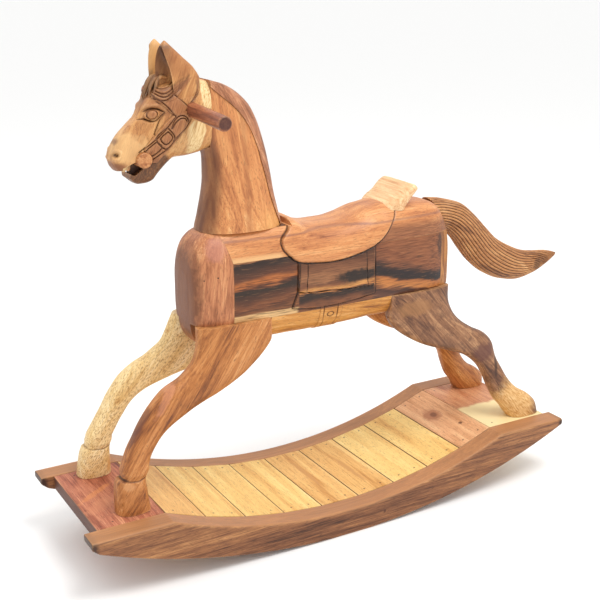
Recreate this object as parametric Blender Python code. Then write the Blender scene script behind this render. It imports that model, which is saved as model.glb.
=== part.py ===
"""Carved wooden rocking horse standing on a slatted rocker base.

The horse faces -X, its left side is towards -Y and +Z is up. Lengths are in metres.
Places along X are counted from the middle of the rockers, and heights of the horse from the platforms.
The whole model is shifted at the end so that the middle of its outline stands on the origin.
"""
import math

import bmesh
import bpy
from mathutils import Vector

# Clearances
GLUE_GAP = 0.0003
BORE_CLEARANCE = 0.0003

# Rocker base
DECK_WIDTH = 0.205
RAIL_THICKNESS = 0.0375
LEDGE_DEPTH = 0.013
LEDGE_HEIGHT = 0.009
LEDGE_STOP = 0.060
SLATTED_LENGTH = 0.636
FRONT_PLATFORM = 0.131
REAR_PLATFORM = 0.141
FRONT_BOARD_INSET = 0.0205
REAR_BOARD_INSET = 0.014
PLATFORM_HEIGHT = 0.108
DECK_LOW_POINT = 0.044
BOARD_THICKNESS = 0.022
SLAT_COUNT = 9
SLAT_GAP = 0.0008
ROCKER_RADIUS = 1.130
FLOOR_FLAT = 0.060
RAIL_NOSE_HEIGHT = 0.011
RAIL_NOSE_DEPTH = 0.011
RAIL_EDGE_BEVEL = 0.004
ARC_STEPS = 18

# Horse, from the platform to the tips of the ears
HORSE_HEIGHT = 0.700
SHARE = HORSE_HEIGHT / 0.700

# Heights and places of the glue joints, which move with the carved form they part
UPPER_BODY_JOINT = 0.267 * SHARE
SADDLE_BOARD_JOINT = 0.364 * SHARE
NECK_JOINT = 0.409 * SHARE
HEAD_JOINT_X = -0.188 * SHARE
HEAD_JOINT_FOOT = 0.540 * SHARE
CHEST_JOINT_X = -0.170 * SHARE
CHEST_SCARF = 0.015
RUMP_JOINT_X = 0.231 * SHARE
BREAST_TONGUE = 0.044
FRONT_LEG_JOINT_X = -0.104 * SHARE
HIND_LEG_JOINT_X = 0.127 * SHARE
LEG_SHOULDER = 0.225 * SHARE
POMMEL_X = -0.0605 * SHARE

# Saddle, girth and bridle
FLAP_RELIEF = 0.0042
FENDER_RELIEF = 0.0022
GIRTH_RELIEF = 0.0015
BRIDLE_RELIEF = 0.0016
BROWBAND_RELIEF = 0.0020
HAIR_RELIEF = 0.0025
MANE_RELIEF = 0.0018

# Hooves, as the room left between each hoof's middle and the rail beside it
LEFT_FRONT_ROOM = 0.0345
RIGHT_FRONT_ROOM = 0.0195
LEFT_HIND_ROOM = 0.0245
RIGHT_HIND_ROOM = 0.0195
HIP_SPREAD = 0.0425

# Turned bars
HANDLE_LENGTH = 0.281
HANDLE_DIAMETER = 0.022
HANDLE_X = -0.220 * SHARE
HANDLE_BELOW_EARS = 0.0976 * SHARE
HANDLE_HEIGHT = HORSE_HEIGHT - HANDLE_BELOW_EARS
HANDLE_TILT = math.radians(3.7)
BIT_LENGTH = 0.066
BIT_DIAMETER = 0.023
BIT_X = -0.2975 * SHARE
BIT_BELOW_EARS = 0.168 * SHARE
BIT_HEIGHT = HORSE_HEIGHT - BIT_BELOW_EARS
BAR_SIDES = 24
BAR_EDGE = 0.0008

# Fineness of the carved forms
BODY_RING = 28
NECK_RING = 24
HEAD_RING = 24
LEG_RING = 14
TAIL_GROOVES = 18
TAIL_GROOVE_DEPTH = 0.0016
FAR = 0.5

PINE = ("pine_slats", (0.80, 0.58, 0.27), 0.5)
RAIL_WOOD = ("oiled_rails", (0.42, 0.20, 0.10), 0.45)
RED_WOOD = ("red_platform", (0.45, 0.16, 0.07), 0.45)
TAN_WOOD = ("tan_carving", (0.58, 0.30, 0.13), 0.45)
DARK_WOOD = ("dark_heartwood", (0.11, 0.05, 0.03), 0.45)
PALE_WOOD = ("pale_sapwood", (0.75, 0.53, 0.29), 0.5)
BROWN_WOOD = ("brown_carving", (0.27, 0.11, 0.05), 0.45)


def empty_scene():
    for old in list(bpy.data.objects):
        bpy.data.objects.remove(old, do_unlink=True)


def wood(finish):
    """Return the finish as a material, made on first use."""
    name, colour, roughness = finish
    found = bpy.data.materials.get(name)
    if found:
        return found
    made = bpy.data.materials.new(name)
    made.use_nodes = True
    shader = made.node_tree.nodes["Principled BSDF"]
    shader.inputs["Base Color"].default_value = (*colour, 1.0)
    shader.inputs["Roughness"].default_value = roughness
    shader.inputs["Metallic"].default_value = 0.0
    return made


def place(name, mesh, finish, origin, smooth_angle=35.0):
    """Put a finished mesh into the scene as a named piece under the frame's origin."""
    mesh.materials.clear()
    mesh.materials.append(wood(finish))
    mesh.shade_smooth()
    mesh.set_sharp_from_angle(angle=math.radians(smooth_angle))
    piece = bpy.data.objects.new(name, mesh)
    bpy.context.scene.collection.objects.link(piece)
    piece.parent = origin
    return piece


def to_mesh(bm, name="form"):
    bmesh.ops.recalc_face_normals(bm, faces=bm.faces)
    mesh = bpy.data.meshes.new(name)
    bm.to_mesh(mesh)
    bm.free()
    return mesh


def combine(first, second, operation, solver="EXACT"):
    """Unite, cut or intersect two closed meshes with a Boolean modifier."""
    base = bpy.data.objects.new("base", first)
    tool = bpy.data.objects.new("tool", second)
    for item in (base, tool):
        bpy.context.scene.collection.objects.link(item)
    step = base.modifiers.new("step", "BOOLEAN")
    step.object = tool
    step.operation = operation
    step.solver = solver
    graph = bpy.context.evaluated_depsgraph_get()
    result = bpy.data.meshes.new_from_object(base.evaluated_get(graph))
    for item in (base, tool):
        bpy.data.objects.remove(item, do_unlink=True)
    return result


def unite(first, second):
    return combine(first, second, "UNION")


def cut(first, second):
    return combine(first, second, "DIFFERENCE")


def common(first, second):
    return combine(first, second, "INTERSECT")


def loft(rings):
    """Skin a run of rings, each with the same number of points, and close both ends."""
    bm = bmesh.new()
    rows = [[bm.verts.new(point) for point in ring] for ring in rings]
    count = len(rows[0])
    for row, following in zip(rows, rows[1:]):
        for i in range(count):
            j = (i + 1) % count
            bm.faces.new((row[i], row[j], following[j], following[i]))
    bm.faces.new(rows[0])
    bm.faces.new(list(reversed(rows[-1])))
    return to_mesh(bm)


def prism(outline, low_y=-FAR, high_y=FAR):
    """Extrude a closed outline of (x, z) points across the horse."""
    return loft([[Vector((x, y, z)) for x, z in outline] for y in (low_y, high_y)])


def power_circle(angle, power):
    """Return a point of a rounded square of radius one; a power of 2 gives the plain circle."""
    c = math.cos(angle)
    s = math.sin(angle)
    return (math.copysign(abs(c) ** (2.0 / power), c), math.copysign(abs(s) ** (2.0 / power), s))


def smooth_curve(points, steps):
    """Return points on a smooth open curve through the given (x, z) points."""
    ends = [points[0], *points, points[-1]]
    curve = []
    for a, b, c, d in zip(ends, ends[1:], ends[2:], ends[3:]):
        for step in range(steps):
            t = step / steps
            curve.append(tuple(
                0.5 * (2 * q + (r - p) * t + (2 * p - 5 * q + 4 * r - s) * t * t
                       + (3 * q - p - 3 * r + s) * t ** 3)
                for p, q, r, s in zip(a, b, c, d)))
    curve.append(points[-1])
    return curve


def lift(points):
    """Turn heights above the platforms into heights above the floor."""
    return [(x, PLATFORM_HEIGHT + GLUE_GAP + z) for x, z in points]


def drawn(points):
    """Place points of the drawing, which was made for a horse 0.700 high."""
    return lift([(x * SHARE, z * SHARE) for x, z in points])


def rib(front, back, middle_y, half_width, count, power=2.5, scallops=0, depth=0.0):
    """Return a ring spanned between a point of the front and a point of the back of a form."""
    (fx, fz), (bx, bz) = drawn([front, back])
    ring = []
    for i in range(count):
        angle = 2 * math.pi * i / count
        along, across = power_circle(angle, power)
        shrink = 1.0
        if scallops:
            reach = min(half_width, math.hypot(fx - bx, fz - bz) / 2)
            shrink = 1.0 - depth / reach * (0.5 - 0.5 * math.cos(scallops * angle))
        ring.append(Vector((
            (fx + bx) / 2 + (fx - bx) / 2 * along * shrink,
            middle_y + half_width * SHARE * across * shrink,
            (fz + bz) / 2 + (fz - bz) / 2 * along * shrink)))
    return ring


def deck_height(x):
    """Top of the deck: a hollow arc between two level platforms."""
    half = SLATTED_LENGTH / 2
    rise = PLATFORM_HEIGHT - DECK_LOW_POINT
    radius = (half * half + rise * rise) / (2 * rise)
    if abs(x) >= half:
        return PLATFORM_HEIGHT
    return DECK_LOW_POINT + radius - math.sqrt(radius * radius - x * x)


def board_tilt(start, end):
    return math.atan2(deck_height(end) - deck_height(start), end - start)


def slat_joints():
    """Places along X where neighbouring slats meet, equally long along the arc."""
    half = SLATTED_LENGTH / 2
    rise = PLATFORM_HEIGHT - DECK_LOW_POINT
    radius = (half * half + rise * rise) / (2 * rise)
    reach = math.asin(half / radius)
    return [radius * math.sin(reach * (2 * i / SLAT_COUNT - 1)) for i in range(SLAT_COUNT + 1)]


def rocker_height(x):
    """Underside of the rails: one round arc, flattened where it stands on the floor."""
    flat = math.sqrt(ROCKER_RADIUS ** 2 - (FLOOR_FLAT / 2) ** 2)
    return max(0.0, flat - math.sqrt(ROCKER_RADIUS ** 2 - x ** 2))


def rail_outline():
    front = -SLATTED_LENGTH / 2 - FRONT_PLATFORM
    rear = SLATTED_LENGTH / 2 + REAR_PLATFORM
    top = [(x, deck_height(x)) for x in slat_joints()]
    steps = ARC_STEPS // 2
    under = []
    for start, end in ((rear - RAIL_NOSE_DEPTH, FLOOR_FLAT / 2), (-FLOOR_FLAT / 2, front + RAIL_NOSE_DEPTH)):
        for i in range(steps + 1):
            x = start + (end - start) * i / steps
            under.append((x, rocker_height(x)))
    rear_nose = [(rear, PLATFORM_HEIGHT), (rear, PLATFORM_HEIGHT - RAIL_NOSE_HEIGHT)]
    front_nose = [(front, PLATFORM_HEIGHT - RAIL_NOSE_HEIGHT), (front, PLATFORM_HEIGHT)]
    return top + rear_nose + under + front_nose


def ledge_outline():
    """Step inside the rail that carries the ends of the boards."""
    front = -SLATTED_LENGTH / 2 - FRONT_PLATFORM + LEDGE_STOP
    rear = SLATTED_LENGTH / 2 + REAR_PLATFORM - LEDGE_STOP
    joints = slat_joints()
    places = [front, *joints, rear]
    tilts = [board_tilt(start, end) for start, end in zip(places, places[1:])]
    top = []
    for i, x in enumerate(places):
        steepest = max(abs(tilt) for tilt in tilts[max(i - 1, 0):i + 1])
        top.append((x, deck_height(x) - BOARD_THICKNESS / math.cos(steepest) - GLUE_GAP))
    foot = [(x, z - LEDGE_HEIGHT) for x, z in reversed(top)]
    return top + foot


def bevel_top_edge(mesh, outer_y):
    """Break the long outer edge of a rail's top."""
    bm = bmesh.new()
    bm.from_mesh(mesh)
    edges = []
    for edge in bm.edges:
        a, b = (vert.co for vert in edge.verts)
        level = all(abs(p.z - deck_height(p.x)) < 1e-5 for p in (a, b))
        if level and abs(a.y - outer_y) < 1e-6 and abs(b.y - outer_y) < 1e-6:
            edges.append(edge)
    bmesh.ops.bevel(bm, geom=edges, offset=RAIL_EDGE_BEVEL, segments=1, affect="EDGES")
    return to_mesh(bm)


def make_rails(origin):
    inner = DECK_WIDTH / 2
    for side, name in ((-1, "left_rocker_rail"), (1, "right_rocker_rail")):
        faces = sorted((side * inner, side * (inner + RAIL_THICKNESS)))
        rail = bevel_top_edge(prism(rail_outline(), *faces), side * (inner + RAIL_THICKNESS))
        step = sorted((side * (inner - LEDGE_DEPTH), side * (inner + LEDGE_DEPTH)))
        place(name, unite(rail, prism(ledge_outline(), *step)), RAIL_WOOD, origin)


def make_board(name, start, end, finish, origin):
    """One deck board, square to its own top but cut plumb where a slat meets a level platform."""
    tilt = board_tilt(start, end)
    along = Vector((math.cos(tilt), 0, math.sin(tilt)))
    square = Vector((math.sin(tilt), 0, -math.cos(tilt))) * BOARD_THICKNESS
    plumb = Vector((0, 0, -BOARD_THICKNESS / math.cos(tilt)))
    a = Vector((start, 0, deck_height(start))) + along * SLAT_GAP / 2
    b = Vector((end, 0, deck_height(end))) - along * SLAT_GAP / 2
    reach = SLATTED_LENGTH / 2 - SLAT_GAP
    below_a = a + (plumb if start < -reach else square)
    below_b = b + (plumb if end > reach else square)
    outline = [(p.x, p.z) for p in (a, b, below_b, below_a)]
    reach = DECK_WIDTH / 2 - GLUE_GAP
    place(name, prism(outline, -reach, reach), finish, origin)


def make_deck(origin):
    half = SLATTED_LENGTH / 2
    front = -half - FRONT_PLATFORM + FRONT_BOARD_INSET
    rear = half + REAR_PLATFORM - REAR_BOARD_INSET
    make_board("front_platform_board", front, -half, RED_WOOD, origin)
    joints = slat_joints()
    for number, (start, end) in enumerate(zip(joints, joints[1:]), 1):
        make_board(f"slat_{number}", start, end, PINE, origin)
    make_board("rear_platform_board", half, rear, PINE, origin)


def body_form(grow=0.0):
    """Loft of the trunk from breast to rump; each station is x, top, bottom and half width."""
    stations = [
        (-0.2320, 0.350, 0.285, 0.020), (-0.2300, 0.366, 0.256, 0.034), (-0.2240, 0.386, 0.239, 0.044),
        (-0.2140, 0.401, 0.229, 0.051), (-0.2000, 0.410, 0.226, 0.0545), (-0.1750, 0.416, 0.225, 0.0570),
        (-0.1400, 0.419, 0.224, 0.0585), (-0.1000, 0.420, 0.224, 0.0595), (-0.0700, 0.418, 0.224, 0.0600),
        (-0.0550, 0.4135, 0.224, 0.0600), (-0.0300, 0.4010, 0.224, 0.0600), (0.0000, 0.3965, 0.224, 0.0600),
        (0.0300, 0.3970, 0.224, 0.0600), (0.0650, 0.4025, 0.225, 0.0600), (0.1000, 0.4160, 0.226, 0.0600),
        (0.1300, 0.4210, 0.226, 0.0600), (0.1600, 0.4185, 0.224, 0.0600), (0.1900, 0.4165, 0.222, 0.0595),
        (0.2150, 0.4150, 0.221, 0.0570), (0.2330, 0.4090, 0.222, 0.0525), (0.2460, 0.3940, 0.224, 0.0465),
        (0.2555, 0.3720, 0.228, 0.0385), (0.2605, 0.3480, 0.236, 0.0260)]
    rings = []
    for x, top, bottom, half in stations:
        ring = []
        for i in range(BODY_RING):
            across, up = power_circle(2 * math.pi * (i + 0.5) / BODY_RING, 3.3)
            (px, pz), = drawn([(x, (top + bottom) / 2 + ((top - bottom) / 2 + grow) * up)])
            ring.append(Vector((px, (half + grow) * SHARE * across, pz)))
        rings.append(ring)
    return loft(rings)


def saddle_outline():
    """Edge of the saddle flap seen from the side, closed well above the seat."""
    edge = [
        (-0.0605, 0.440), (-0.0605, 0.416), (-0.068, 0.404), (-0.083, 0.391), (-0.083, 0.379),
        (-0.077, 0.370), (-0.058, 0.354), (-0.024, 0.348), (0.011, 0.346), (0.046, 0.350),
        (0.081, 0.359), (0.104, 0.371), (0.121, 0.389), (0.136, 0.410), (0.146, 0.440)]
    return drawn([edge[0]] + smooth_curve(edge[1:], 3))


def fender_outline():
    """Stirrup leather panel and skirt below the flap."""
    return drawn([(-0.056, 0.372), (-0.057, 0.302), (-0.067, 0.277), (-0.040, 0.2725), (-0.014, 0.2710),
                  (0.031, 0.2720), (0.060, 0.2750), (0.090, 0.2790), (0.088, 0.372)])


def dressed_body():
    """Trunk with the saddle, fender and girth standing out of the wood."""
    form = body_form()
    layers = (
        (GIRTH_RELIEF, drawn([(-0.014, 0.20), (0.026, 0.20), (0.026, 0.29), (-0.014, 0.29)])),
        (FENDER_RELIEF, fender_outline()),
        (FLAP_RELIEF, saddle_outline()))
    for height, outline in layers:
        form = unite(form, common(body_form(height), prism(outline)))
    return form


def make_trunk(origin, tail_cut):
    """Part the trunk into its glued boards along the joints that show on its sides."""
    body = cut(dressed_body(), tail_cut)
    seam = GLUE_GAP / 2
    low = UPPER_BODY_JOINT
    mid = SADDLE_BOARD_JOINT
    top = NECK_JOINT
    chest_x = CHEST_JOINT_X
    rump_x = RUMP_JOINT_X
    scarf_x = CHEST_JOINT_X - CHEST_SCARF
    tongue = BREAST_TONGUE / 2
    slot_wall = tongue - seam

    breast = prism(lift([(-FAR, low + seam), (chest_x - seam, low + seam), (chest_x - seam, mid),
                         (scarf_x - seam, top), (-FAR, top)]))
    throat = prism(lift([(-FAR, 0), (chest_x - seam, 0), (chest_x - seam, low + 0.01), (-FAR, low + 0.01)]),
                   -slot_wall, slot_wall)
    place("chest_block", common(body, unite(breast, throat)), TAN_WOOD, origin)

    pommel = POMMEL_X
    seat = prism(lift([(chest_x + seam, mid + seam), (FAR, mid + seam), (FAR, FAR), (pommel, FAR),
                       (pommel, top), (scarf_x + seam, top)]))
    place("saddle_board", common(body, seat), TAN_WOOD, origin)

    trunk = prism(lift([(chest_x + seam, low + seam), (rump_x - seam, low + seam), (rump_x - seam, mid - seam),
                        (chest_x + seam, mid - seam)]))
    place("barrel_block", common(body, trunk), DARK_WOOD, origin)

    rump = prism(lift([(rump_x + seam, low + seam), (FAR, low + seam), (FAR, mid - seam),
                       (rump_x + seam, mid - seam)]))
    place("rump_block", common(body, rump), TAN_WOOD, origin)

    keel = prism(lift([(chest_x + seam, 0), (FAR, 0), (FAR, low - seam), (chest_x + seam, low - seam)]))
    belly = common(body, keel)
    front_leg = FRONT_LEG_JOINT_X
    hind_leg = HIND_LEG_JOINT_X
    for side in (-1, 1):
        span = sorted((side * slot_wall, side * FAR))
        for start, end in ((-FAR, front_leg + seam), (hind_leg - seam, FAR)):
            room = prism(lift([(start, 0), (end, 0), (end, low + 0.01), (start, low + 0.01)]), *span)
            belly = cut(belly, room)
    place("belly_board", belly, BROWN_WOOD, origin)


def make_cantle(origin):
    """Raised back of the seat, one leaning board shaped to the saddle under it."""
    ribs = [
        ((0.128, 0.398), (0.166, 0.390), 0.0500), ((0.137, 0.416), (0.166, 0.409), 0.0500),
        ((0.150, 0.432), (0.174, 0.425), 0.0490), ((0.162, 0.445), (0.182, 0.437), 0.0470),
        ((0.169, 0.4505), (0.185, 0.4425), 0.0430), ((0.173, 0.4520), (0.182, 0.4470), 0.0360)]
    form = loft([rib(front, back, 0.0, half, 28, power=4.5) for front, back, half in ribs])
    place("cantle", cut(form, body_form(FLAP_RELIEF + GLUE_GAP)), PALE_WOOD, origin)


def neck_form(grow=0.0):
    ribs = [
        ((-0.2045, 0.390), (-0.0620, 0.390), 0.0510), ((-0.2040, 0.409), (-0.0645, 0.409), 0.0500),
        ((-0.1990, 0.432), (-0.0700, 0.432), 0.0455), ((-0.1930, 0.462), (-0.0770, 0.462), 0.0410),
        ((-0.1895, 0.492), (-0.0820, 0.492), 0.0370), ((-0.1900, 0.522), (-0.0880, 0.522), 0.0340),
        ((-0.1980, 0.546), (-0.0950, 0.548), 0.0325), ((-0.2040, 0.570), (-0.1030, 0.572), 0.0315),
        ((-0.2080, 0.598), (-0.1160, 0.597), 0.0305), ((-0.2100, 0.622), (-0.1360, 0.617), 0.0290),
        ((-0.2120, 0.640), (-0.1600, 0.631), 0.0260), ((-0.2140, 0.6500), (-0.1900, 0.6400), 0.0200)]
    return loft([rib(front, back, 0.0, half + grow, NECK_RING, 2.4) for front, back, half in ribs])


def mane_outline(shift):
    """Line where the mane stands out of the neck, closed behind the horse."""
    line = [(-0.200, 0.652), (-0.187, 0.630), (-0.149, 0.598), (-0.126, 0.569), (-0.113, 0.539),
            (-0.103, 0.504), (-0.091, 0.457), (-0.079, 0.424), (-0.069, 0.400)]
    moved = [(x + shift, z + shift) for x, z in line]
    return drawn(smooth_curve(moved, 3) + [(0.05, 0.380), (0.05, 0.75), (-0.205, 0.75)])


def make_neck(origin):
    seam = GLUE_GAP / 2
    behind_head = prism(lift([(-FAR, HEAD_JOINT_FOOT), (HEAD_JOINT_X + seam, HEAD_JOINT_FOOT),
                              (HEAD_JOINT_X + seam, FAR + 0.4), (-FAR, FAR + 0.4)]))
    foot = prism(lift([(-FAR, 0), (FAR, 0), (FAR, NECK_JOINT + GLUE_GAP), (-FAR, NECK_JOINT + GLUE_GAP)]))
    ahead = prism(lift([(-FAR, 0), (HEAD_JOINT_X + seam, 0), (HEAD_JOINT_X + seam, FAR + 0.4), (-FAR, FAR + 0.4)]))
    jowl = common(head_form(GLUE_GAP, lower=2 * GLUE_GAP), ahead)
    neck = cut(cut(cut(neck_form(), behind_head), foot), jowl)
    place("neck", cut(neck, prism(mane_outline(-seam))), TAN_WOOD, origin)
    mane = cut(cut(neck_form(MANE_RELIEF), behind_head), foot)
    place("mane", common(mane, prism(mane_outline(seam))), TAN_WOOD, origin)


def head_form(grow=0.0, lower=0.0):
    """Skull and jaws as one form, each rib running from the face to the underside."""
    ribs = [
        ((-0.1700, 0.6380), (-0.1700, 0.5370), 0.0290), ((-0.1880, 0.6400), (-0.1880, 0.5375), 0.0305),
        ((-0.2050, 0.6430), (-0.2060, 0.5325), 0.0320), ((-0.2350, 0.6440), (-0.2270, 0.5295), 0.0325),
        ((-0.2630, 0.6380), (-0.2440, 0.5285), 0.0318), ((-0.2795, 0.6230), (-0.2545, 0.5220), 0.0302),
        ((-0.2900, 0.6095), (-0.2625, 0.5145), 0.0282), ((-0.2985, 0.5940), (-0.2710, 0.5055), 0.0262),
        ((-0.3125, 0.5805), (-0.2785, 0.4970), 0.0250), ((-0.3270, 0.5665), (-0.2895, 0.4935), 0.0244),
        ((-0.3375, 0.5500), (-0.2990, 0.4930), 0.0240), ((-0.3420, 0.5375), (-0.3065, 0.4955), 0.0228),
        ((-0.3395, 0.5250), (-0.3115, 0.5000), 0.0195), ((-0.3335, 0.5150), (-0.3160, 0.5040), 0.0120)]
    return loft([rib(front, (x, z - lower), 0.0, half + grow, HEAD_RING, 2.8) for front, (x, z), half in ribs])


def ear_form(side, shift=0.0, shrink=1.0):
    """Pointed ear; the same form, smaller and moved forward, hollows it out."""
    ribs = [
        ((-0.2690, 0.615), (-0.2000, 0.615), 0.0185, 0.0120), ((-0.2705, 0.640), (-0.2020, 0.642), 0.0188, 0.0125),
        ((-0.2705, 0.658), (-0.2120, 0.660), 0.0190, 0.0120), ((-0.2690, 0.674), (-0.2290, 0.676), 0.0190, 0.0105),
        ((-0.2650, 0.688), (-0.2430, 0.689), 0.0188, 0.0080), ((-0.2600, 0.6960), (-0.2510, 0.6965), 0.0185, 0.0045),
        ((-0.2565, 0.7000), (-0.2545, 0.7002), 0.0182, 0.0015)]
    rings = []
    for (fx, fz), (bx, bz), middle, half in ribs:
        front = (fx - shift, fz)
        back = (fx - shift + (bx - fx) * shrink, fz + (bz - fz) * shrink)
        rings.append(rib(front, back, side * middle * SHARE, half * shrink ** 0.5 * 0.95, 12, 3.0))
    return loft(rings)


def head_reliefs():
    """Heights and side outlines of the bridle's straps and of the hair that falls behind the brow."""
    cheek = [(-0.2960, 0.548), (-0.2620, 0.586), (-0.2400, 0.6030), (-0.2290, 0.6000), (-0.2240, 0.5880),
             (-0.2300, 0.5770), (-0.2480, 0.5560), (-0.2780, 0.526), (-0.2900, 0.5270)]
    brow = [(-0.2740, 0.6170), (-0.2480, 0.5930), (-0.2260, 0.6040), (-0.2430, 0.6210), (-0.2560, 0.6290)]
    crown = [(-0.2270, 0.6080), (-0.2240, 0.6040), (-0.2090, 0.6240), (-0.2050, 0.6480), (-0.2090, 0.6500),
             (-0.2120, 0.6270)]
    hair = [(-0.2780, 0.6330), (-0.2775, 0.6200), (-0.2640, 0.6130), (-0.2480, 0.6160), (-0.2330, 0.6300),
            (-0.2170, 0.6490), (-0.2400, 0.6400), (-0.2600, 0.6330)]
    return ((BRIDLE_RELIEF, drawn(cheek)), (BROWBAND_RELIEF, drawn(brow)), (BRIDLE_RELIEF, drawn(crown)),
            (HAIR_RELIEF, drawn(hair)))


def eyeball(side):
    """Carved eye, a low oval boss."""
    (x, z), = drawn([(-0.2785, 0.5970)])
    rings = []
    for height, reach in ((-0.004, 1.0), (0.0000, 0.95), (0.0014, 0.70), (0.0021, 0.35)):
        ring = []
        for i in range(14):
            angle = 2 * math.pi * i / 14
            tilt = math.radians(22)
            u = 0.0125 * reach * math.cos(angle)
            v = 0.0078 * reach * math.sin(angle)
            ring.append(Vector((x + (u * math.cos(tilt) - v * math.sin(tilt)) * SHARE,
                                side * (0.0290 + height) * SHARE,
                                z + (u * math.sin(tilt) + v * math.cos(tilt)) * SHARE)))
        rings.append(ring)
    return loft(rings)


def bar(length, diameter, x, height, tilt, edge=BAR_EDGE):
    """Turned bar lying across the horse, with its ends slightly eased."""
    (px, pz), = lift([(x, height)])
    half = length / 2
    radius = diameter / 2
    across = Vector((0, math.cos(tilt), math.sin(tilt)))
    upward = Vector((0, -math.sin(tilt), math.cos(tilt)))
    rings = []
    for place_y, r in ((-half, radius - edge), (-half + edge, radius), (half - edge, radius), (half, radius - edge)):
        ring = []
        for i in range(BAR_SIDES):
            angle = 2 * math.pi * i / BAR_SIDES
            ring.append(Vector((px, 0, pz)) + across * place_y
                        + Vector((1, 0, 0)) * r * math.cos(angle) + upward * r * math.sin(angle))
        rings.append(ring)
    return loft(rings)


def make_head(origin):
    seam = GLUE_GAP / 2
    # The exact solver loses the skull among these thin overlapping layers, so they go on with the manifold one.
    head = head_form()
    for height, outline in head_reliefs():
        layer = combine(head_form(height), prism(outline), "INTERSECT", "MANIFOLD")
        head = combine(head, layer, "UNION", "MANIFOLD")
    for side in (-1, 1):
        ear = cut(ear_form(side), ear_form(side, shift=0.012, shrink=0.55))
        head = combine(head, ear, "UNION", "MANIFOLD")
        head = combine(head, eyeball(side), "UNION", "MANIFOLD")
    mouth = smooth_curve([(-0.3460, 0.5120), (-0.3300, 0.5185), (-0.3220, 0.5245), (-0.3110, 0.5290),
                          (-0.3000, 0.5335)], 3)
    mouth += smooth_curve([(-0.2960, 0.5335), (-0.2950, 0.5200), (-0.3080, 0.5090), (-0.3160, 0.5115)], 3)
    mouth += [(-0.3170, 0.4900), (-0.3460, 0.4900)]
    behind = [(HEAD_JOINT_X - seam, 0), (FAR, 0), (FAR, FAR + 0.4), (HEAD_JOINT_X - seam, FAR + 0.4)]
    for outline in (drawn(mouth), lift(behind)):
        head = combine(head, prism(outline), "DIFFERENCE", "MANIFOLD")
    for length, diameter, x, height, tilt in (
            (HANDLE_LENGTH, HANDLE_DIAMETER, HANDLE_X, HANDLE_HEIGHT, HANDLE_TILT),
            (BIT_LENGTH, BIT_DIAMETER, BIT_X, BIT_HEIGHT, 0.0)):
        bore = bar(length + 0.01, diameter + 2 * BORE_CLEARANCE, x, height, tilt, edge=0.0001)
        head = combine(head, bore, "DIFFERENCE", "MANIFOLD")
    place("head", head, TAN_WOOD, origin)


def make_bars(origin):
    handle = bar(HANDLE_LENGTH, HANDLE_DIAMETER, HANDLE_X, HANDLE_HEIGHT, HANDLE_TILT)
    place("handle_bar", handle, TAN_WOOD, origin)
    bit = bar(BIT_LENGTH, BIT_DIAMETER, BIT_X, BIT_HEIGHT, 0.0)
    place("bit_bar", bit, TAN_WOOD, origin)


def leg_form(ribs, side, room, power=2.6):
    """Loft of a leg that leans out from the hip to its hoof beside the rail."""
    hoof_y = DECK_WIDTH / 2 - room
    hip_y = HIP_SPREAD
    top = ribs[0][0][1]
    rings = []
    for front, back, half in ribs:
        level = (front[1] + back[1]) / 2 / top
        lean = (1 - level) ** 1.2
        middle = side * (hip_y + (hoof_y - hip_y) * lean)
        rings.append(rib(front, back, middle, half, LEG_RING, power))
    return loft(rings)


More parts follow.
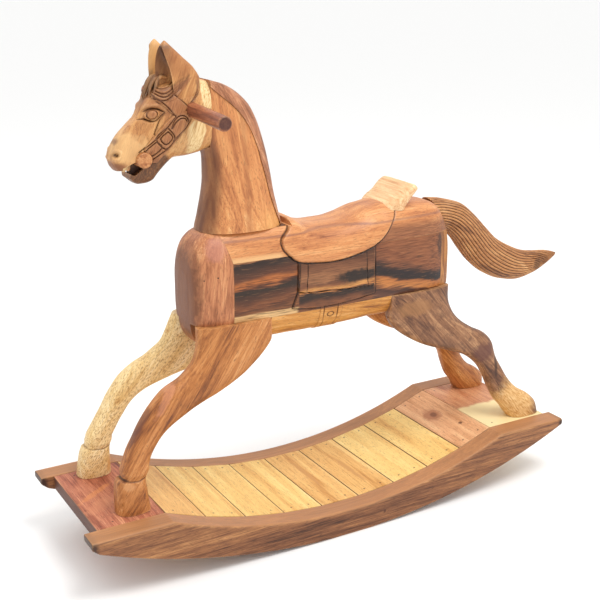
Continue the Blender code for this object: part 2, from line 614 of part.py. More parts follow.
def make_legs(origin):
    low = UPPER_BODY_JOINT - GLUE_GAP / 2
    tongue = BREAST_TONGUE / 2 + GLUE_GAP / 2
    left_front = [
        ((-0.230, 0.285), (-0.096, 0.285), 0.0205), ((-0.231, 0.252), (-0.098, 0.239), 0.0205),
        ((-0.236, 0.223), (-0.139, 0.192), 0.0205), ((-0.259, 0.196), (-0.193, 0.162), 0.0200),
        ((-0.296, 0.176), (-0.239, 0.145), 0.0200), ((-0.318, 0.155), (-0.270, 0.130), 0.0195),
        ((-0.333, 0.136), (-0.293, 0.117), 0.0190), ((-0.348, 0.113), (-0.311, 0.099), 0.0185),
        ((-0.361, 0.090), (-0.3225, 0.082), 0.0185), ((-0.371, 0.065), (-0.329, 0.061), 0.0185),
        ((-0.3715, 0.056), (-0.3325, 0.052), 0.0175), ((-0.3795, 0.051), (-0.3340, 0.047), 0.0190),
        ((-0.3835, 0.032), (-0.3325, 0.027), 0.0205), ((-0.3845, 0.0), (-0.3300, 0.0), 0.0215)]
    right_front = [
        ((-0.224, 0.285), (-0.096, 0.285), 0.0205), ((-0.238, 0.250), (-0.098, 0.236), 0.0205),
        ((-0.250, 0.222), (-0.143, 0.192), 0.0205), ((-0.278, 0.199), (-0.194, 0.168), 0.0200),
        ((-0.304, 0.185), (-0.244, 0.156), 0.0200), ((-0.326, 0.166), (-0.280, 0.144), 0.0195),
        ((-0.340, 0.145), (-0.303, 0.129), 0.0190), ((-0.356, 0.114), (-0.320, 0.104), 0.0185),
        ((-0.369, 0.090), (-0.331, 0.083), 0.0185), ((-0.379, 0.070), (-0.338, 0.066), 0.0185),
        ((-0.380, 0.058), (-0.340, 0.054), 0.0180), ((-0.386, 0.052), (-0.341, 0.048), 0.0190),
        ((-0.391, 0.030), (-0.340, 0.027), 0.0205), ((-0.394, 0.0), (-0.338, 0.0), 0.0215)]
    hind = [
        ((0.119, 0.285), (0.2530, 0.285), 0.0205), ((0.121, 0.239), (0.2500, 0.245), 0.0205),
        ((0.130, 0.215), (0.2575, 0.221), 0.0205), ((0.158, 0.189), (0.2765, 0.198), 0.0200),
        ((0.205, 0.163), (0.3020, 0.181), 0.0200), ((0.250, 0.147), (0.3280, 0.167), 0.0195),
        ((0.285, 0.132), (0.3430, 0.149), 0.0185), ((0.309, 0.114), (0.3500, 0.123), 0.0175),
        ((0.326, 0.090), (0.3640, 0.097), 0.0170), ((0.338, 0.063), (0.3780, 0.074), 0.0175),
        ((0.352, 0.036), (0.3990, 0.052), 0.0185), ((0.366, 0.020), (0.4230, 0.037), 0.0200),
        ((0.374, 0.008), (0.4400, 0.018), 0.0210), ((0.380, 0.0), (0.4440, 0.0), 0.0205)]
    pieces = (
        ("left_front_leg", left_front, -1, LEFT_FRONT_ROOM, BROWN_WOOD),
        ("right_front_leg", right_front, 1, RIGHT_FRONT_ROOM, PALE_WOOD),
        ("left_hind_leg", hind, -1, LEFT_HIND_ROOM, BROWN_WOOD),
        ("right_hind_leg", hind, 1, RIGHT_HIND_ROOM, BROWN_WOOD))
    above = prism(lift([(-FAR, low), (FAR, low), (FAR, FAR), (-FAR, FAR)]))
    for name, ribs, side, room, finish in pieces:
        start, end = (-FAR, HIND_LEG_JOINT_X) if ribs is hind else (FRONT_LEG_JOINT_X, FAR)
        beside = prism(lift([(start, LEG_SHOULDER), (end, LEG_SHOULDER), (end, FAR), (start, FAR)]))
        inner = sorted((side * tongue, -side * FAR))
        within = prism(lift([(-FAR, -0.1), (FAR, -0.1), (FAR, FAR), (-FAR, FAR)]), *inner)
        form = leg_form(ribs, side, room)
        for waste in (above, beside, within):
            form = cut(form, waste.copy())
        place(name, form, finish, origin)


def tail_form():
    ribs = [
        ((0.2334, 0.4140), (0.2614, 0.3600), 0.0250), ((0.2520, 0.4120), (0.2675, 0.3570), 0.0235),
        ((0.2790, 0.4060), (0.2750, 0.3520), 0.0210), ((0.3060, 0.3970), (0.2810, 0.3450), 0.0215),
        ((0.3340, 0.3760), (0.2910, 0.3350), 0.0220), ((0.3640, 0.3470), (0.3100, 0.3110), 0.0225),
        ((0.3900, 0.3230), (0.3340, 0.2840), 0.0225), ((0.4230, 0.3040), (0.3690, 0.2580), 0.0220),
        ((0.4600, 0.2890), (0.4070, 0.2420), 0.0205), ((0.4870, 0.2845), (0.4430, 0.2360), 0.0185),
        ((0.5120, 0.2820), (0.4800, 0.2420), 0.0145), ((0.5300, 0.2780), (0.5130, 0.2550), 0.0095),
        ((0.5420, 0.2740), (0.5370, 0.2670), 0.0035)]
    count = TAIL_GROOVES * 2
    rings = [rib(front, back, 0.0, half, count, 2.3, TAIL_GROOVES, min(TAIL_GROOVE_DEPTH, half * 0.12))
             for front, back, half in ribs]
    return loft(rings)


def tail_seat():
    """Wedge behind the slanting face of the rump that the tail is glued to."""
    top = (0.2330, 0.4140)
    foot = (0.2610, 0.3600)
    run = (foot[0] - top[0], foot[1] - top[1])
    above = (top[0] - run[0], top[1] - run[1])
    below = (foot[0] + run[0] * 0.3, foot[1] + run[1] * 0.3)
    return drawn([above, below, (FAR, below[1]), (FAR, above[1])])


def make_tail(origin):
    place("tail", tail_form(), BROWN_WOOD, origin)


def main():
    empty_scene()
    origin = bpy.data.objects.new("frame_origin", None)
    bpy.context.scene.collection.objects.link(origin)
    make_rails(origin)
    make_deck(origin)
    make_trunk(origin, prism(tail_seat()))
    make_cantle(origin)
    make_neck(origin)
    make_head(origin)
    make_bars(origin)
    make_legs(origin)
    make_tail(origin)
    tail_tip = 0.542 * SHARE
    front_end = -SLATTED_LENGTH / 2 - FRONT_PLATFORM
    origin.location.x = -(tail_tip + front_end) / 2


main()
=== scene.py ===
# %% [markdown]
# # A carved rocking horse on a slatted rocker base
# The real thing is glued up from boards of tropical hardwood, carved with gouges, sanded and oiled.
# The CAD solids give every glued piece its place and size. This lesson rebuilds each piece as a
# fine mesh with its carving, and gives it the wood it was cut from.

# %% Load the frame
import math

import bpy
import numpy as np
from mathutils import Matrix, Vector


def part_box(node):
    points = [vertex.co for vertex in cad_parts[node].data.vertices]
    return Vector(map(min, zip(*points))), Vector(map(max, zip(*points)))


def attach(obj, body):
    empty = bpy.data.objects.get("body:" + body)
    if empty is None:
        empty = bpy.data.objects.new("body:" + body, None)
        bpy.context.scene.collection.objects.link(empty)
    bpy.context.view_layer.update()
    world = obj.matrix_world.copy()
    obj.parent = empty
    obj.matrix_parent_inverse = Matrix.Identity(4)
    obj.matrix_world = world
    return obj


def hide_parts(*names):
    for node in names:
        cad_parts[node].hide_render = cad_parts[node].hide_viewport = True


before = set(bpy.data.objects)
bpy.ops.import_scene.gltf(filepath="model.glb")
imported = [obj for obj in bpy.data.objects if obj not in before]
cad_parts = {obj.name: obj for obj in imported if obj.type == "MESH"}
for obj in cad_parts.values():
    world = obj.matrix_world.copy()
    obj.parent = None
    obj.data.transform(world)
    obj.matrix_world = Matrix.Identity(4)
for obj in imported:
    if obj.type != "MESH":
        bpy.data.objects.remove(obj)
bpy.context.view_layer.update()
# Drawing lengths run from the middle of the rockers and from the top of the platforms.
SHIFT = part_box("left_rocker_rail")[0].x + 0.449
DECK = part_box("front_platform_board")[1].z
PLATFORM = DECK + 0.0003
MM = 0.001
print("drawing moved by", round(SHIFT, 4), "and lifted by", round(PLATFORM, 4))

# %% [markdown]
# ## Shaping tools
# A carved form is easiest to describe by a few ribs, each running from the front of the form to
# its back. A curve that never overshoots is drawn through them, so the dense mesh keeps to the
# sizes of the solids. Rings are spaced evenly so that fine carving has points to move everywhere.

# %% Curves and rings
def glide(run, values, at):
    """Smooth curve through values without overshoot, read at the given places of the run."""
    run, values = np.asarray(run, float), np.asarray(values, float)
    gap = np.diff(run)
    rise = np.diff(values, axis=0) / gap[:, None]
    slope = np.zeros_like(values)
    before, after = rise[:-1], rise[1:]
    w1, w2 = (2 * gap[1:] + gap[:-1])[:, None], (gap[1:] + 2 * gap[:-1])[:, None]
    agree = before * after > 0
    safe_before, safe_after = np.where(agree, before, 1.0), np.where(agree, after, 1.0)
    slope[1:-1] = np.where(agree, (w1 + w2) / (w1 / safe_before + w2 / safe_after), 0.0)
    slope[0], slope[-1] = rise[0], rise[-1]
    cell = np.clip(np.searchsorted(run, at, side="right") - 1, 0, len(gap) - 1)
    h = gap[cell][:, None]
    t = ((at - run[cell]) / gap[cell])[:, None]
    a, b = values[cell], values[cell + 1]
    return ((1 + 2 * t) * (1 - t) ** 2 * a + t * (1 - t) ** 2 * h * slope[cell]
            + t * t * (3 - 2 * t) * b + t * t * (t - 1) * h * slope[cell + 1])


def even_ring(along, across, power, count):
    """Points spaced evenly round a rounded box of the given half sizes."""
    angle = np.linspace(0, 2 * np.pi, 1441)
    c, s = np.cos(angle), np.sin(angle)
    u = np.sign(c) * np.abs(c) ** (2 / power) * along
    v = np.sign(s) * np.abs(s) ** (2 / power) * across
    run = np.concatenate([[0], np.cumsum(np.hypot(np.diff(u), np.diff(v)))])
    at = np.linspace(0, run[-1], count, endpoint=False)
    return np.interp(at, run, u), np.interp(at, run, v)


def shape(ribs, step, count, power, middle=None):
    """Dense rows of points through ribs of (front x, front z, back x, back z, half width)."""
    ribs = np.array([[*front, *back, half] for front, back, half in ribs])
    centres = (ribs[:, :2] + ribs[:, 2:4]) / 2
    run = np.concatenate([[0], np.cumsum(np.hypot(*np.diff(centres, axis=0).T))])
    at = np.linspace(0, run[-1], max(3, int(run[-1] / step) + 1))
    rows = []
    for fx, fz, bx, bz, half in glide(run, ribs, at):
        length = math.hypot(fx - bx, fz - bz) / 2
        u, v = even_ring(length, half, power, count)
        y = middle(fz, bz) if middle else 0.0
        rows.append(np.stack([(fx + bx) / 2 + (fx - bx) / 2 * u / length, y + v,
                              (fz + bz) / 2 + (fz - bz) / 2 * u / length], axis=1))
    return np.array(rows)


def dome(rows, bulge, at_start=False, steps=6):
    """Close one end of the rows with a shallow dome that bulges outward."""
    rows = rows[::-1] if at_start else rows
    last, ahead = rows[-1], rows[-1].mean(axis=0) - rows[-2].mean(axis=0)
    ahead = ahead / np.linalg.norm(ahead)
    centre = last.mean(axis=0)
    more = []
    for k in range(1, steps + 1):
        turn = k / (steps + 0.4) * np.pi / 2
        more.append(centre + (last - centre) * math.cos(turn) + ahead * bulge * math.sin(turn))
    rows = np.concatenate([rows, more])
    return rows[::-1] if at_start else rows


def outward(rows):
    """Unit normals of the skin through the rows."""
    along = np.gradient(rows, axis=0)
    around = np.roll(rows, -1, axis=1) - np.roll(rows, 1, axis=1)
    normal = np.cross(around, along)
    normal /= np.linalg.norm(normal, axis=2, keepdims=True) + 1e-12
    away = rows - rows.mean(axis=1, keepdims=True)
    return normal if (normal * away).sum() > 0 else -normal


print("curves and rings ready")

# %% [markdown]
# ## Carving tools
# The saddle, bridle and mane are low relief, drawn on the horse's side. Each is a field over the
# side view: a plateau inside an outline, or a groove along a line. The points of a form move
# along its surface normal by the height of the field, which is what a gouge does in wood.

# %% Relief fields
def smooth(value):
    value = np.clip(value, 0, 1)
    return value * value * (3 - 2 * value)


def nearness(x, z, line, closed=False):
    """Distance from each point to a line of (x, z) corners."""
    corners = np.array(line + [line[0]] if closed else line, float)
    best = np.full(x.shape, np.inf)
    for (ax, az), (bx, bz) in zip(corners, corners[1:]):
        dx, dz = bx - ax, bz - az
        t = np.clip(((x - ax) * dx + (z - az) * dz) / (dx * dx + dz * dz + 1e-18), 0, 1)
        best = np.minimum(best, np.hypot(x - ax - t * dx, z - az - t * dz))
    return best


def within(x, z, outline):
    """True where a point lies inside a closed outline."""
    hit = np.zeros(x.shape, bool)
    for (ax, az), (bx, bz) in zip(outline, outline[1:] + outline[:1]):
        if az != bz:
            crosses = (az > z) != (bz > z)
            hit ^= crosses & (x < ax + (z - az) * (bx - ax) / (bz - az))
    return hit


def plateau(x, z, outline, edge):
    """One inside the outline, nought outside, with a short slope of the given width."""
    gap = nearness(x, z, outline, closed=True)
    signed = np.where(within(x, z, outline), gap, -gap)
    return smooth(signed / edge + 0.5)


def groove(x, z, line, width, closed=False):
    """One on the line, falling to nought at half the width to each side."""
    return 1 - smooth(nearness(x, z, line, closed) / (width / 2))


def curved(points, steps=4):
    """Smooth open curve through (x, z) points."""
    ends = [points[0], *points, points[-1]]
    out = []
    for a, b, c, d in zip(ends, ends[1:], ends[2:], ends[3:]):
        for k in range(steps):
            t = k / steps
            out.append(tuple(0.5 * (2 * q + (r - p) * t + (2 * p - 5 * q + 4 * r - s) * t * t
                                    + (3 * q - p - 3 * r + s) * t ** 3) for p, q, r, s in zip(a, b, c, d)))
    return out + [points[-1]]


def moat(x, z, outline, width):
    """One along the foot of a raised outline, just outside it, and nought elsewhere."""
    gap = nearness(x, z, outline, closed=True)
    signed = np.where(within(x, z, outline), gap, -gap)
    return 1 - smooth(np.abs(signed + 0.55 * width) / (0.55 * width))


def ripple(points, size, seed, waves=7):
    """Gentle unevenness between -1 and 1, as a gouge and sandpaper leave it."""
    rng = np.random.default_rng(seed)
    total = np.zeros(points.shape[:-1])
    for _ in range(waves):
        direction = rng.normal(size=3)
        direction *= rng.uniform(0.6, 1.5) / (np.linalg.norm(direction) * size)
        total += np.sin(points @ direction * 2 * np.pi + rng.uniform(0, 2 * np.pi))
    return total / waves


print("relief fields ready")

# %% [markdown]
# ## Joining tools
# The horse's boards are sawn apart along straight glue lines. A mesh could be modelled board by
# board, but then the carving would not run on across the joints. So the whole form is carved
# first and sawn afterwards with Boolean modifiers, which keeps the surface continuous.

# %% Skins and saw cuts
def skin(rows):
    """Closed mesh through rows of points."""
    count, size = rows.shape[:2]
    index = np.arange(count * size).reshape(count, size)
    beside = np.roll(index, -1, axis=1)
    quads = np.stack([index[:-1], beside[:-1], beside[1:], index[1:]], axis=-1).reshape(-1, 4)
    a, b, c = (rows.reshape(-1, 3)[quads[:, k]] for k in range(3))
    if (np.cross(b - a, c - a) * (a - rows.reshape(-1, 3).mean(axis=0))).sum() < 0:
        quads = quads[:, ::-1]
        ends = [index[0].tolist(), index[-1][::-1].tolist()]
    else:
        ends = [index[0][::-1].tolist(), index[-1].tolist()]
    mesh = bpy.data.meshes.new("form")
    mesh.from_pydata(rows.reshape(-1, 3).tolist(), [], quads.tolist() + ends)
    return mesh


def prism(outline, low=-0.5, high=0.5):
    """Block with the given side outline, from low to high across the horse."""
    return skin(np.array([[(x, y, z) for x, z in outline] for y in (low, high)]))


def combine(first, second, operation):
    """Unite, cut or intersect two closed meshes."""
    base, tool = bpy.data.objects.new("base", first), bpy.data.objects.new("tool", second)
    for item in (base, tool):
        bpy.context.scene.collection.objects.link(item)
    step = base.modifiers.new("step", "BOOLEAN")
    step.object, step.operation, step.solver = tool, operation, "MANIFOLD"
    graph = bpy.context.evaluated_depsgraph_get()
    result = bpy.data.meshes.new_from_object(base.evaluated_get(graph))
    for item in (base, tool):
        bpy.data.objects.remove(item, do_unlink=True)
    return result


def cut(first, second):
    return combine(first, second, "DIFFERENCE")


def common(first, second):
    return combine(first, second, "INTERSECT")


def points_of(mesh):
    flat = np.empty(len(mesh.vertices) * 3)
    mesh.vertices.foreach_get("co", flat)
    return flat.reshape(-1, 3)


def note(mesh, name, values):
    """Keep one number per point for the finish to read."""
    mesh.attributes.new(name, "FLOAT", "POINT").data.foreach_set("value", np.asarray(values, float))


def note_bend(mesh):
    """Record how far the surface bends at each point: above nought on edges, below in hollows."""
    points = points_of(mesh)
    normal = np.empty(len(points) * 3)
    mesh.vertex_normals.foreach_get("vector", normal)
    normal = normal.reshape(-1, 3)
    pair = np.empty(len(mesh.edges) * 2, int)
    mesh.edges.foreach_get("vertices", pair)
    a, b = pair.reshape(-1, 2).T
    way = points[b] - points[a]
    way /= np.linalg.norm(way, axis=1, keepdims=True) + 1e-9
    total = np.bincount(a, -(normal[a] * way).sum(1), len(points))
    total += np.bincount(b, (normal[b] * way).sum(1), len(points))
    count = np.maximum(np.bincount(a, minlength=len(points)) + np.bincount(b, minlength=len(points)), 1)
    bend = total / count
    for _ in range(2):
        near = np.bincount(a, bend[b], len(points)) + np.bincount(b, bend[a], len(points))
        bend = (bend + near / count) / 2
    note(mesh, "bend", bend)


def finish_piece(name, mesh, wood, node=None, angle=40, notes=None):
    """Move a carved mesh from the drawing to its place and hand it to the frame."""
    for key, values in (notes(points_of(mesh)) if notes else {}).items():
        note(mesh, key, values)
    flat = points_of(mesh) + (SHIFT, 0, PLATFORM)
    mesh.vertices.foreach_set("co", flat.ravel())
    mesh.update()
    note_bend(mesh)
    mesh.materials.clear()
    mesh.materials.append(wood)
    mesh.shade_smooth()
    mesh.set_sharp_from_angle(angle=math.radians(angle))
    piece = bpy.data.objects.new(name, mesh)
    bpy.context.scene.collection.objects.link(piece)
    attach(piece, "root")
    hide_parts(node or name)
    print(f"{name}: {len(mesh.vertices)} points")
    return piece


# %% [markdown]
# ## Wood finishes
# Every piece is the same kind of timber, sanded and rubbed with oil, but heartwood is brown to
# black and sapwood is pale yellow. Oil leaves a soft sheen with a roughness near 0.45. The figure
# of a board is a slice through growth rings, so it is drawn as contour lines of a slow noise that
# is stretched along the grain. Fibres and pores are finer noises stretched the same way; real
# pores are about 0.3 mm wide and are drawn near 1 mm so that they show in the picture.

# %% Wood material
def linear(code):
    """Turn an sRGB hex colour into linear light."""
    parts = [int(code[i:i + 2], 16) / 255 for i in (1, 3, 5)]
    return (*[p / 12.92 if p <= 0.04045 else ((p + 0.055) / 1.055) ** 2.4 for p in parts], 1.0)


MATH, RANGE, RAMP = "ShaderNodeMath", "ShaderNodeMapRange", "ShaderNodeValToRGB"
MIX, NOISE, CELL = "ShaderNodeMix", "ShaderNodeTexNoise", "ShaderNodeMapping"
NOTE, SPLIT, FACING = "ShaderNodeAttribute", "ShaderNodeSeparateXYZ", "ShaderNodeNewGeometry"
# Most nodes give their first output, and these give another one.
RESULT = {MIX: 2, NOTE: "Fac", FACING: "Normal", "ShaderNodeTexCoord": "Object"}
TIMES = dict(operation="MULTIPLY")
TIMES_PLUS = dict(operation="MULTIPLY_ADD")


def add(tree, kind, inputs=(), stops=None, out=None, **settings):
    """Add one node with its settings; inputs are plain values or the sockets that feed them."""
    node = tree.nodes.new(kind)
    for key, value in settings.items():
        setattr(node, key, value)
    for key, value in (inputs.items() if isinstance(inputs, dict) else enumerate(inputs)):
        if isinstance(value, bpy.types.NodeSocket):
            tree.links.new(value, node.inputs[key])
        else:
            node.inputs[key].default_value = value
    if stops:
        ramp = node.color_ramp
        while len(ramp.elements) < len(stops):
            ramp.elements.new(1.0)
        for element, (position, colour) in zip(ramp.elements, stops):
            element.position = position
            element.color = linear(colour)
    return node.outputs[RESULT.get(kind, 0) if out is None else out]


def lay(tree, colour, layers):
    """Lay stains and painted light and shade over a colour in turn, each by its share from nought to one."""
    # A mix of colours has its share in socket 0 and the colours in sockets 6 and 7.
    for share, shade in layers:
        shade = linear(shade) if isinstance(shade, str) else shade
        colour = add(tree, MIX, {0: share, 6: colour, 7: shade}, data_type="RGBA")
    return colour


def turned(degrees):
    """Rotation that lays the grain at this angle above the X axis, seen from the horse's left."""
    return (0.0, -math.radians(degrees), 0.0)


ACROSS = (0.0, 0.0, math.pi / 2)


def spot(tree, coordinates, centre, reach, shade, strength=1.0, soft=0.5, turn=(0, 0, 0)):
    """Share and colour of an oval mark, a stain, knot, painted highlight or painted shade, whose half sizes
    are in millimetres.
    """
    x, y, z = centre
    cell = add(tree, CELL, {"Vector": coordinates, "Location": (x + SHIFT, y, z + PLATFORM), "Rotation": turn,
                            "Scale": [size * MM for size in reach]}, vector_type="TEXTURE")
    length = add(tree, "ShaderNodeVectorMath", [cell], out="Value", operation="LENGTH")
    rough_edge = add(tree, NOISE, {"Vector": coordinates, "Scale": 90.0, "Detail": 2.0})
    away = add(tree, MATH, [rough_edge, soft, length], **TIMES_PLUS)
    share = add(tree, RANGE, [away, 0.6 + soft * 0.5, 1.0 + soft * 0.5, strength, 0.0])
    return share, shade


def oiled_wood(name, slot, tones, turn=(0, 0, 0), figure=(0.22, 0.026), rings=7.0, ring_share=0.22,
               fibre=0.40, clouds=0.20, pores=0.50, gloss=(0.40, 0.56), dark="#3A1E10", light="#E3B27C",
               offset=(0, 0, 0), marks=None, spots=()):
    """Oiled timber: tones run over the figure from first to last, and marks and spots lay stains and painted
    light and shade on it.
    """
    material = bpy.data.materials.new(name)
    material.use_nodes = True
    tree = material.node_tree
    tree.nodes.clear()
    coordinates = add(tree, "ShaderNodeTexCoord")

    def grain(length, width, detail, distortion=0.0):
        cell = add(tree, CELL, {"Vector": coordinates, "Location": offset, "Rotation": turn,
                                "Scale": (length, width, width)}, vector_type="TEXTURE")
        return add(tree, NOISE, {"Vector": cell, "Scale": 1.0, "Detail": detail, "Roughness": 0.55,
                                 "Distortion": distortion})

    slow = grain(*figure, 1.0, 0.2)
    ring = add(tree, MATH, [add(tree, MATH, [slow, 2 * math.pi * rings], **TIMES)], operation="SINE")
    cloudy = grain(figure[0] * 0.35, figure[1] * 0.45, 3.0, 0.3)
    fine = grain(30 * MM, 1.5 * MM, 3.0)
    streak = grain(75 * MM, 3.6 * MM, 2.0)
    tone = add(tree, RANGE, [slow, 0.32, 0.68, 0.30, 0.72])
    tone = add(tree, MATH, [ring, ring_share * 0.35, tone], **TIMES_PLUS)
    for part, weight in ((streak, 0.75 * fibre), (cloudy, clouds), (fine, fibre)):
        centred = add(tree, RANGE, [part, 0.3, 0.7, -0.5, 0.5])
        tone = add(tree, MATH, [centred, weight, tone], **TIMES_PLUS)
    pore = add(tree, RANGE, [grain(9 * MM, 0.9 * MM, 1.0), 0.60, 0.68])
    layers = [(add(tree, MATH, [pore, pores], **TIMES), dark)]
    layers += marks(tree, coordinates, fine, slow) if marks else []
    layers += [spot(tree, coordinates, *row) for row in spots]
    # Painted shade darkens the hollows and the cut lines, and hands wear the edges pale.
    bend = add(tree, NOTE, attribute_name="bend")
    hollow = add(tree, RANGE, [bend, -0.015, -0.16])
    patchy = add(tree, RANGE, [cloudy, 0.35, 0.65, 0.25, 1.0])
    worn = add(tree, MATH, [add(tree, RANGE, [bend, 0.03, 0.22]), patchy], **TIMES)
    line = add(tree, NOTE, attribute_name="line")
    for share, strength, shade in ((hollow, 0.72, dark), (worn, 0.45, light), (line, 0.85, dark)):
        layers.append((add(tree, MATH, [share, strength], **TIMES), shade))
    height = add(tree, MATH, [pore, -0.6, fine], **TIMES_PLUS)
    shader = add(tree, "ShaderNodeBsdfPrincipled", {
        "Base Color": lay(tree, add(tree, RAMP, [tone], tones), layers),
        "Roughness": add(tree, RANGE, [fine, 0.3, 0.7, *gloss]), "Specular IOR Level": 0.4,
        "Normal": add(tree, "ShaderNodeBump", {"Height": height, "Strength": 0.35, "Distance": 0.35 * MM})})
    end = tree.nodes.new("ShaderNodeOutputMaterial")
    tree.links.new(shader, end.inputs["Surface"])
    return material


print("finishes ready")

# %% [markdown]
# ## The rocker rails
# Each rail is one plank, sawn to a curve along its underside, with a hollow arc on top between
# two level ends. It could be an extruded outline, but the maker rounded its long edges, so it is
# built as cross-sections with rounded corners that follow both curves. A low step on its inner
# side carries the boards.

# %% Rails
HALF_DECK = 0.1025
RAIL_OUT = 0.140
FRONT_END, REAR_END = -0.449, 0.459
HALF_SLATS = 0.318
LOW_POINT = 0.044
ROCKER_RADIUS, FLAT = 1.130, 0.060
NOSE = 0.011
DECK_RISE = DECK - LOW_POINT
DECK_RADIUS = (HALF_SLATS ** 2 + DECK_RISE ** 2) / (2 * DECK_RISE)


def deck_height(x):
    """Top of the deck above the floor."""
    hollow = LOW_POINT + DECK_RADIUS - np.sqrt(np.maximum(DECK_RADIUS ** 2 - np.square(x), 0))
    return np.where(np.abs(x) >= HALF_SLATS, DECK, hollow)


def underside(x):
    """Underside of the rails above the floor, with the short flat it stands on."""
    flat = math.sqrt(ROCKER_RADIUS ** 2 - (FLAT / 2) ** 2)
    return np.maximum(0, flat - np.sqrt(ROCKER_RADIUS ** 2 - np.square(x)))


def rail_rows(side):
    ends = np.array([0, 0.2, 0.5, 1.0, 1.6, 2.4]) * MM
    inner = np.arange(FRONT_END + 3.2 * MM, REAR_END - 3 * MM, 2.6 * MM)
    places = np.concatenate([FRONT_END + ends, inner, (REAR_END - ends)[::-1]])
    rows = []
    for x in places:
        near_end = min(x - FRONT_END, REAR_END - x)
        ease = 1.6 * MM * (1 - math.sqrt(max(0.0, 1 - (1 - min(near_end / (1.6 * MM), 1)) ** 2)))
        top, low = float(deck_height(x)) - ease, float(underside(x))
        if near_end < NOSE:
            behind = float(underside(FRONT_END + NOSE if x < 0 else REAR_END - NOSE))
            low = DECK - NOSE + (behind - DECK + NOSE) * near_end / NOSE
        low += ease
        y0, y1 = HALF_DECK + ease, RAIL_OUT - ease
        ring = []
        for cy, cz, r, start in ((y1, top, 4.2 * MM, 0), (y0, top, 1.2 * MM, 90), (y0, low, 1.5 * MM, 180),
                                 (y1, low, 2.6 * MM, 270)):
            sy, sz = (1 if cy == y1 else -1), (1 if cz == top else -1)
            for k in range(5):
                turn = math.radians(start + 90 * k / 4)
                ring.append((cy - sy * r + r * math.cos(turn), cz - sz * r + r * math.sin(turn)))
        dense = []
        for k, (ya, za) in enumerate(ring):
            yb, zb = ring[(k + 1) % len(ring)]
            parts = {4: 8, 9: 14, 14: 8, 19: 14}.get(k, 1)
            dense += [(ya + (yb - ya) * i / parts, za + (zb - za) * i / parts) for i in range(parts)]
        rows.append([(x, side * y, z - PLATFORM) for y, z in dense])
    rows = np.array(rows)
    rows = rows + outward(rows) * (ripple(rows, 0.11, 5 + side) * 0.25 * MM)[..., None]
    rows[..., 0] = np.clip(rows[..., 0], FRONT_END, REAR_END)
    rows[..., 2] = np.maximum(rows[..., 2], -PLATFORM)
    return rows


LEDGE_X = np.linspace(FRONT_END + 0.060, REAR_END - 0.060, 60)
ledge_top = deck_height(LEDGE_X) - 0.0245
LEDGE = ([(x, z - PLATFORM) for x, z in zip(LEDGE_X, ledge_top)]
         + [(x, z - 0.008 - PLATFORM) for x, z in zip(LEDGE_X[::-1], ledge_top[::-1])])


def rail_marks(side):
    stains = [((0.066, -0.140, -0.084), (3.5, 6, 3.5)), ((-0.371, 0.121, 0.0), (11, 16, 20)),
              ((-0.350, 0.112, 0.0), (6, 7, 20))]
    rows = [(centre, reach, "#4A2414", 0.8, 0.4) for centre, reach in stains if centre[1] * side > 0]
    rows += [((x, side * 0.121, -0.012), (13, 50, 30), "#2E160E", 0.9, 0.4) for x in (FRONT_END, REAR_END)]

    def marks(tree, coordinates, fine, slow):
        """Dark stains and sawn ends, under a top lightened with painted light from above."""
        upward = add(tree, SPLIT, [add(tree, FACING)], out="Z")
        painted_top_light = add(tree, RANGE, [upward, 0.55, 0.95, 0.0, 0.55])
        return [spot(tree, coordinates, *row) for row in rows] + [(painted_top_light, "#C68C5C")]
    return marks


RAIL_TONES = [(0.0, "#3C2012"), (0.25, "#653C22"), (0.5, "#825232"), (0.75, "#98653C"), (1.0, "#B88252")]
for side, name in ((-1, "left_rocker_rail"), (1, "right_rocker_rail")):
    wood = oiled_wood(f"oiled_rail_plank_{'near' if side < 0 else 'far'}", "oiled_rails", RAIL_TONES,
                      figure=(0.60, 0.018), rings=6, ring_share=0.28, fibre=0.50, clouds=0.10,
                      offset=(0.3 * side, 0.1, 0.07), marks=rail_marks(side))
    ledge = prism(LEDGE, *sorted((side * (HALF_DECK - 0.0125), side * (HALF_DECK + 0.006))))
    finish_piece(name, combine(skin(rail_rows(side)), ledge, "UNION"), wood)

# %% [markdown]
# ## The deck boards
# Nine short slats lie across the hollow of the rails, between a reddish board in front and a
# two-toned one behind. A scaled cube would look too perfect, so each board is a block with eased
# edges, a top that is very slightly cupped, and ends that are not quite straight.

# %% Boards
BOARD = 22 * MM
reach_angle = math.asin(HALF_SLATS / DECK_RADIUS)
JOINTS = [DECK_RADIUS * math.sin(reach_angle * (2 * i / 9 - 1)) for i in range(10)]


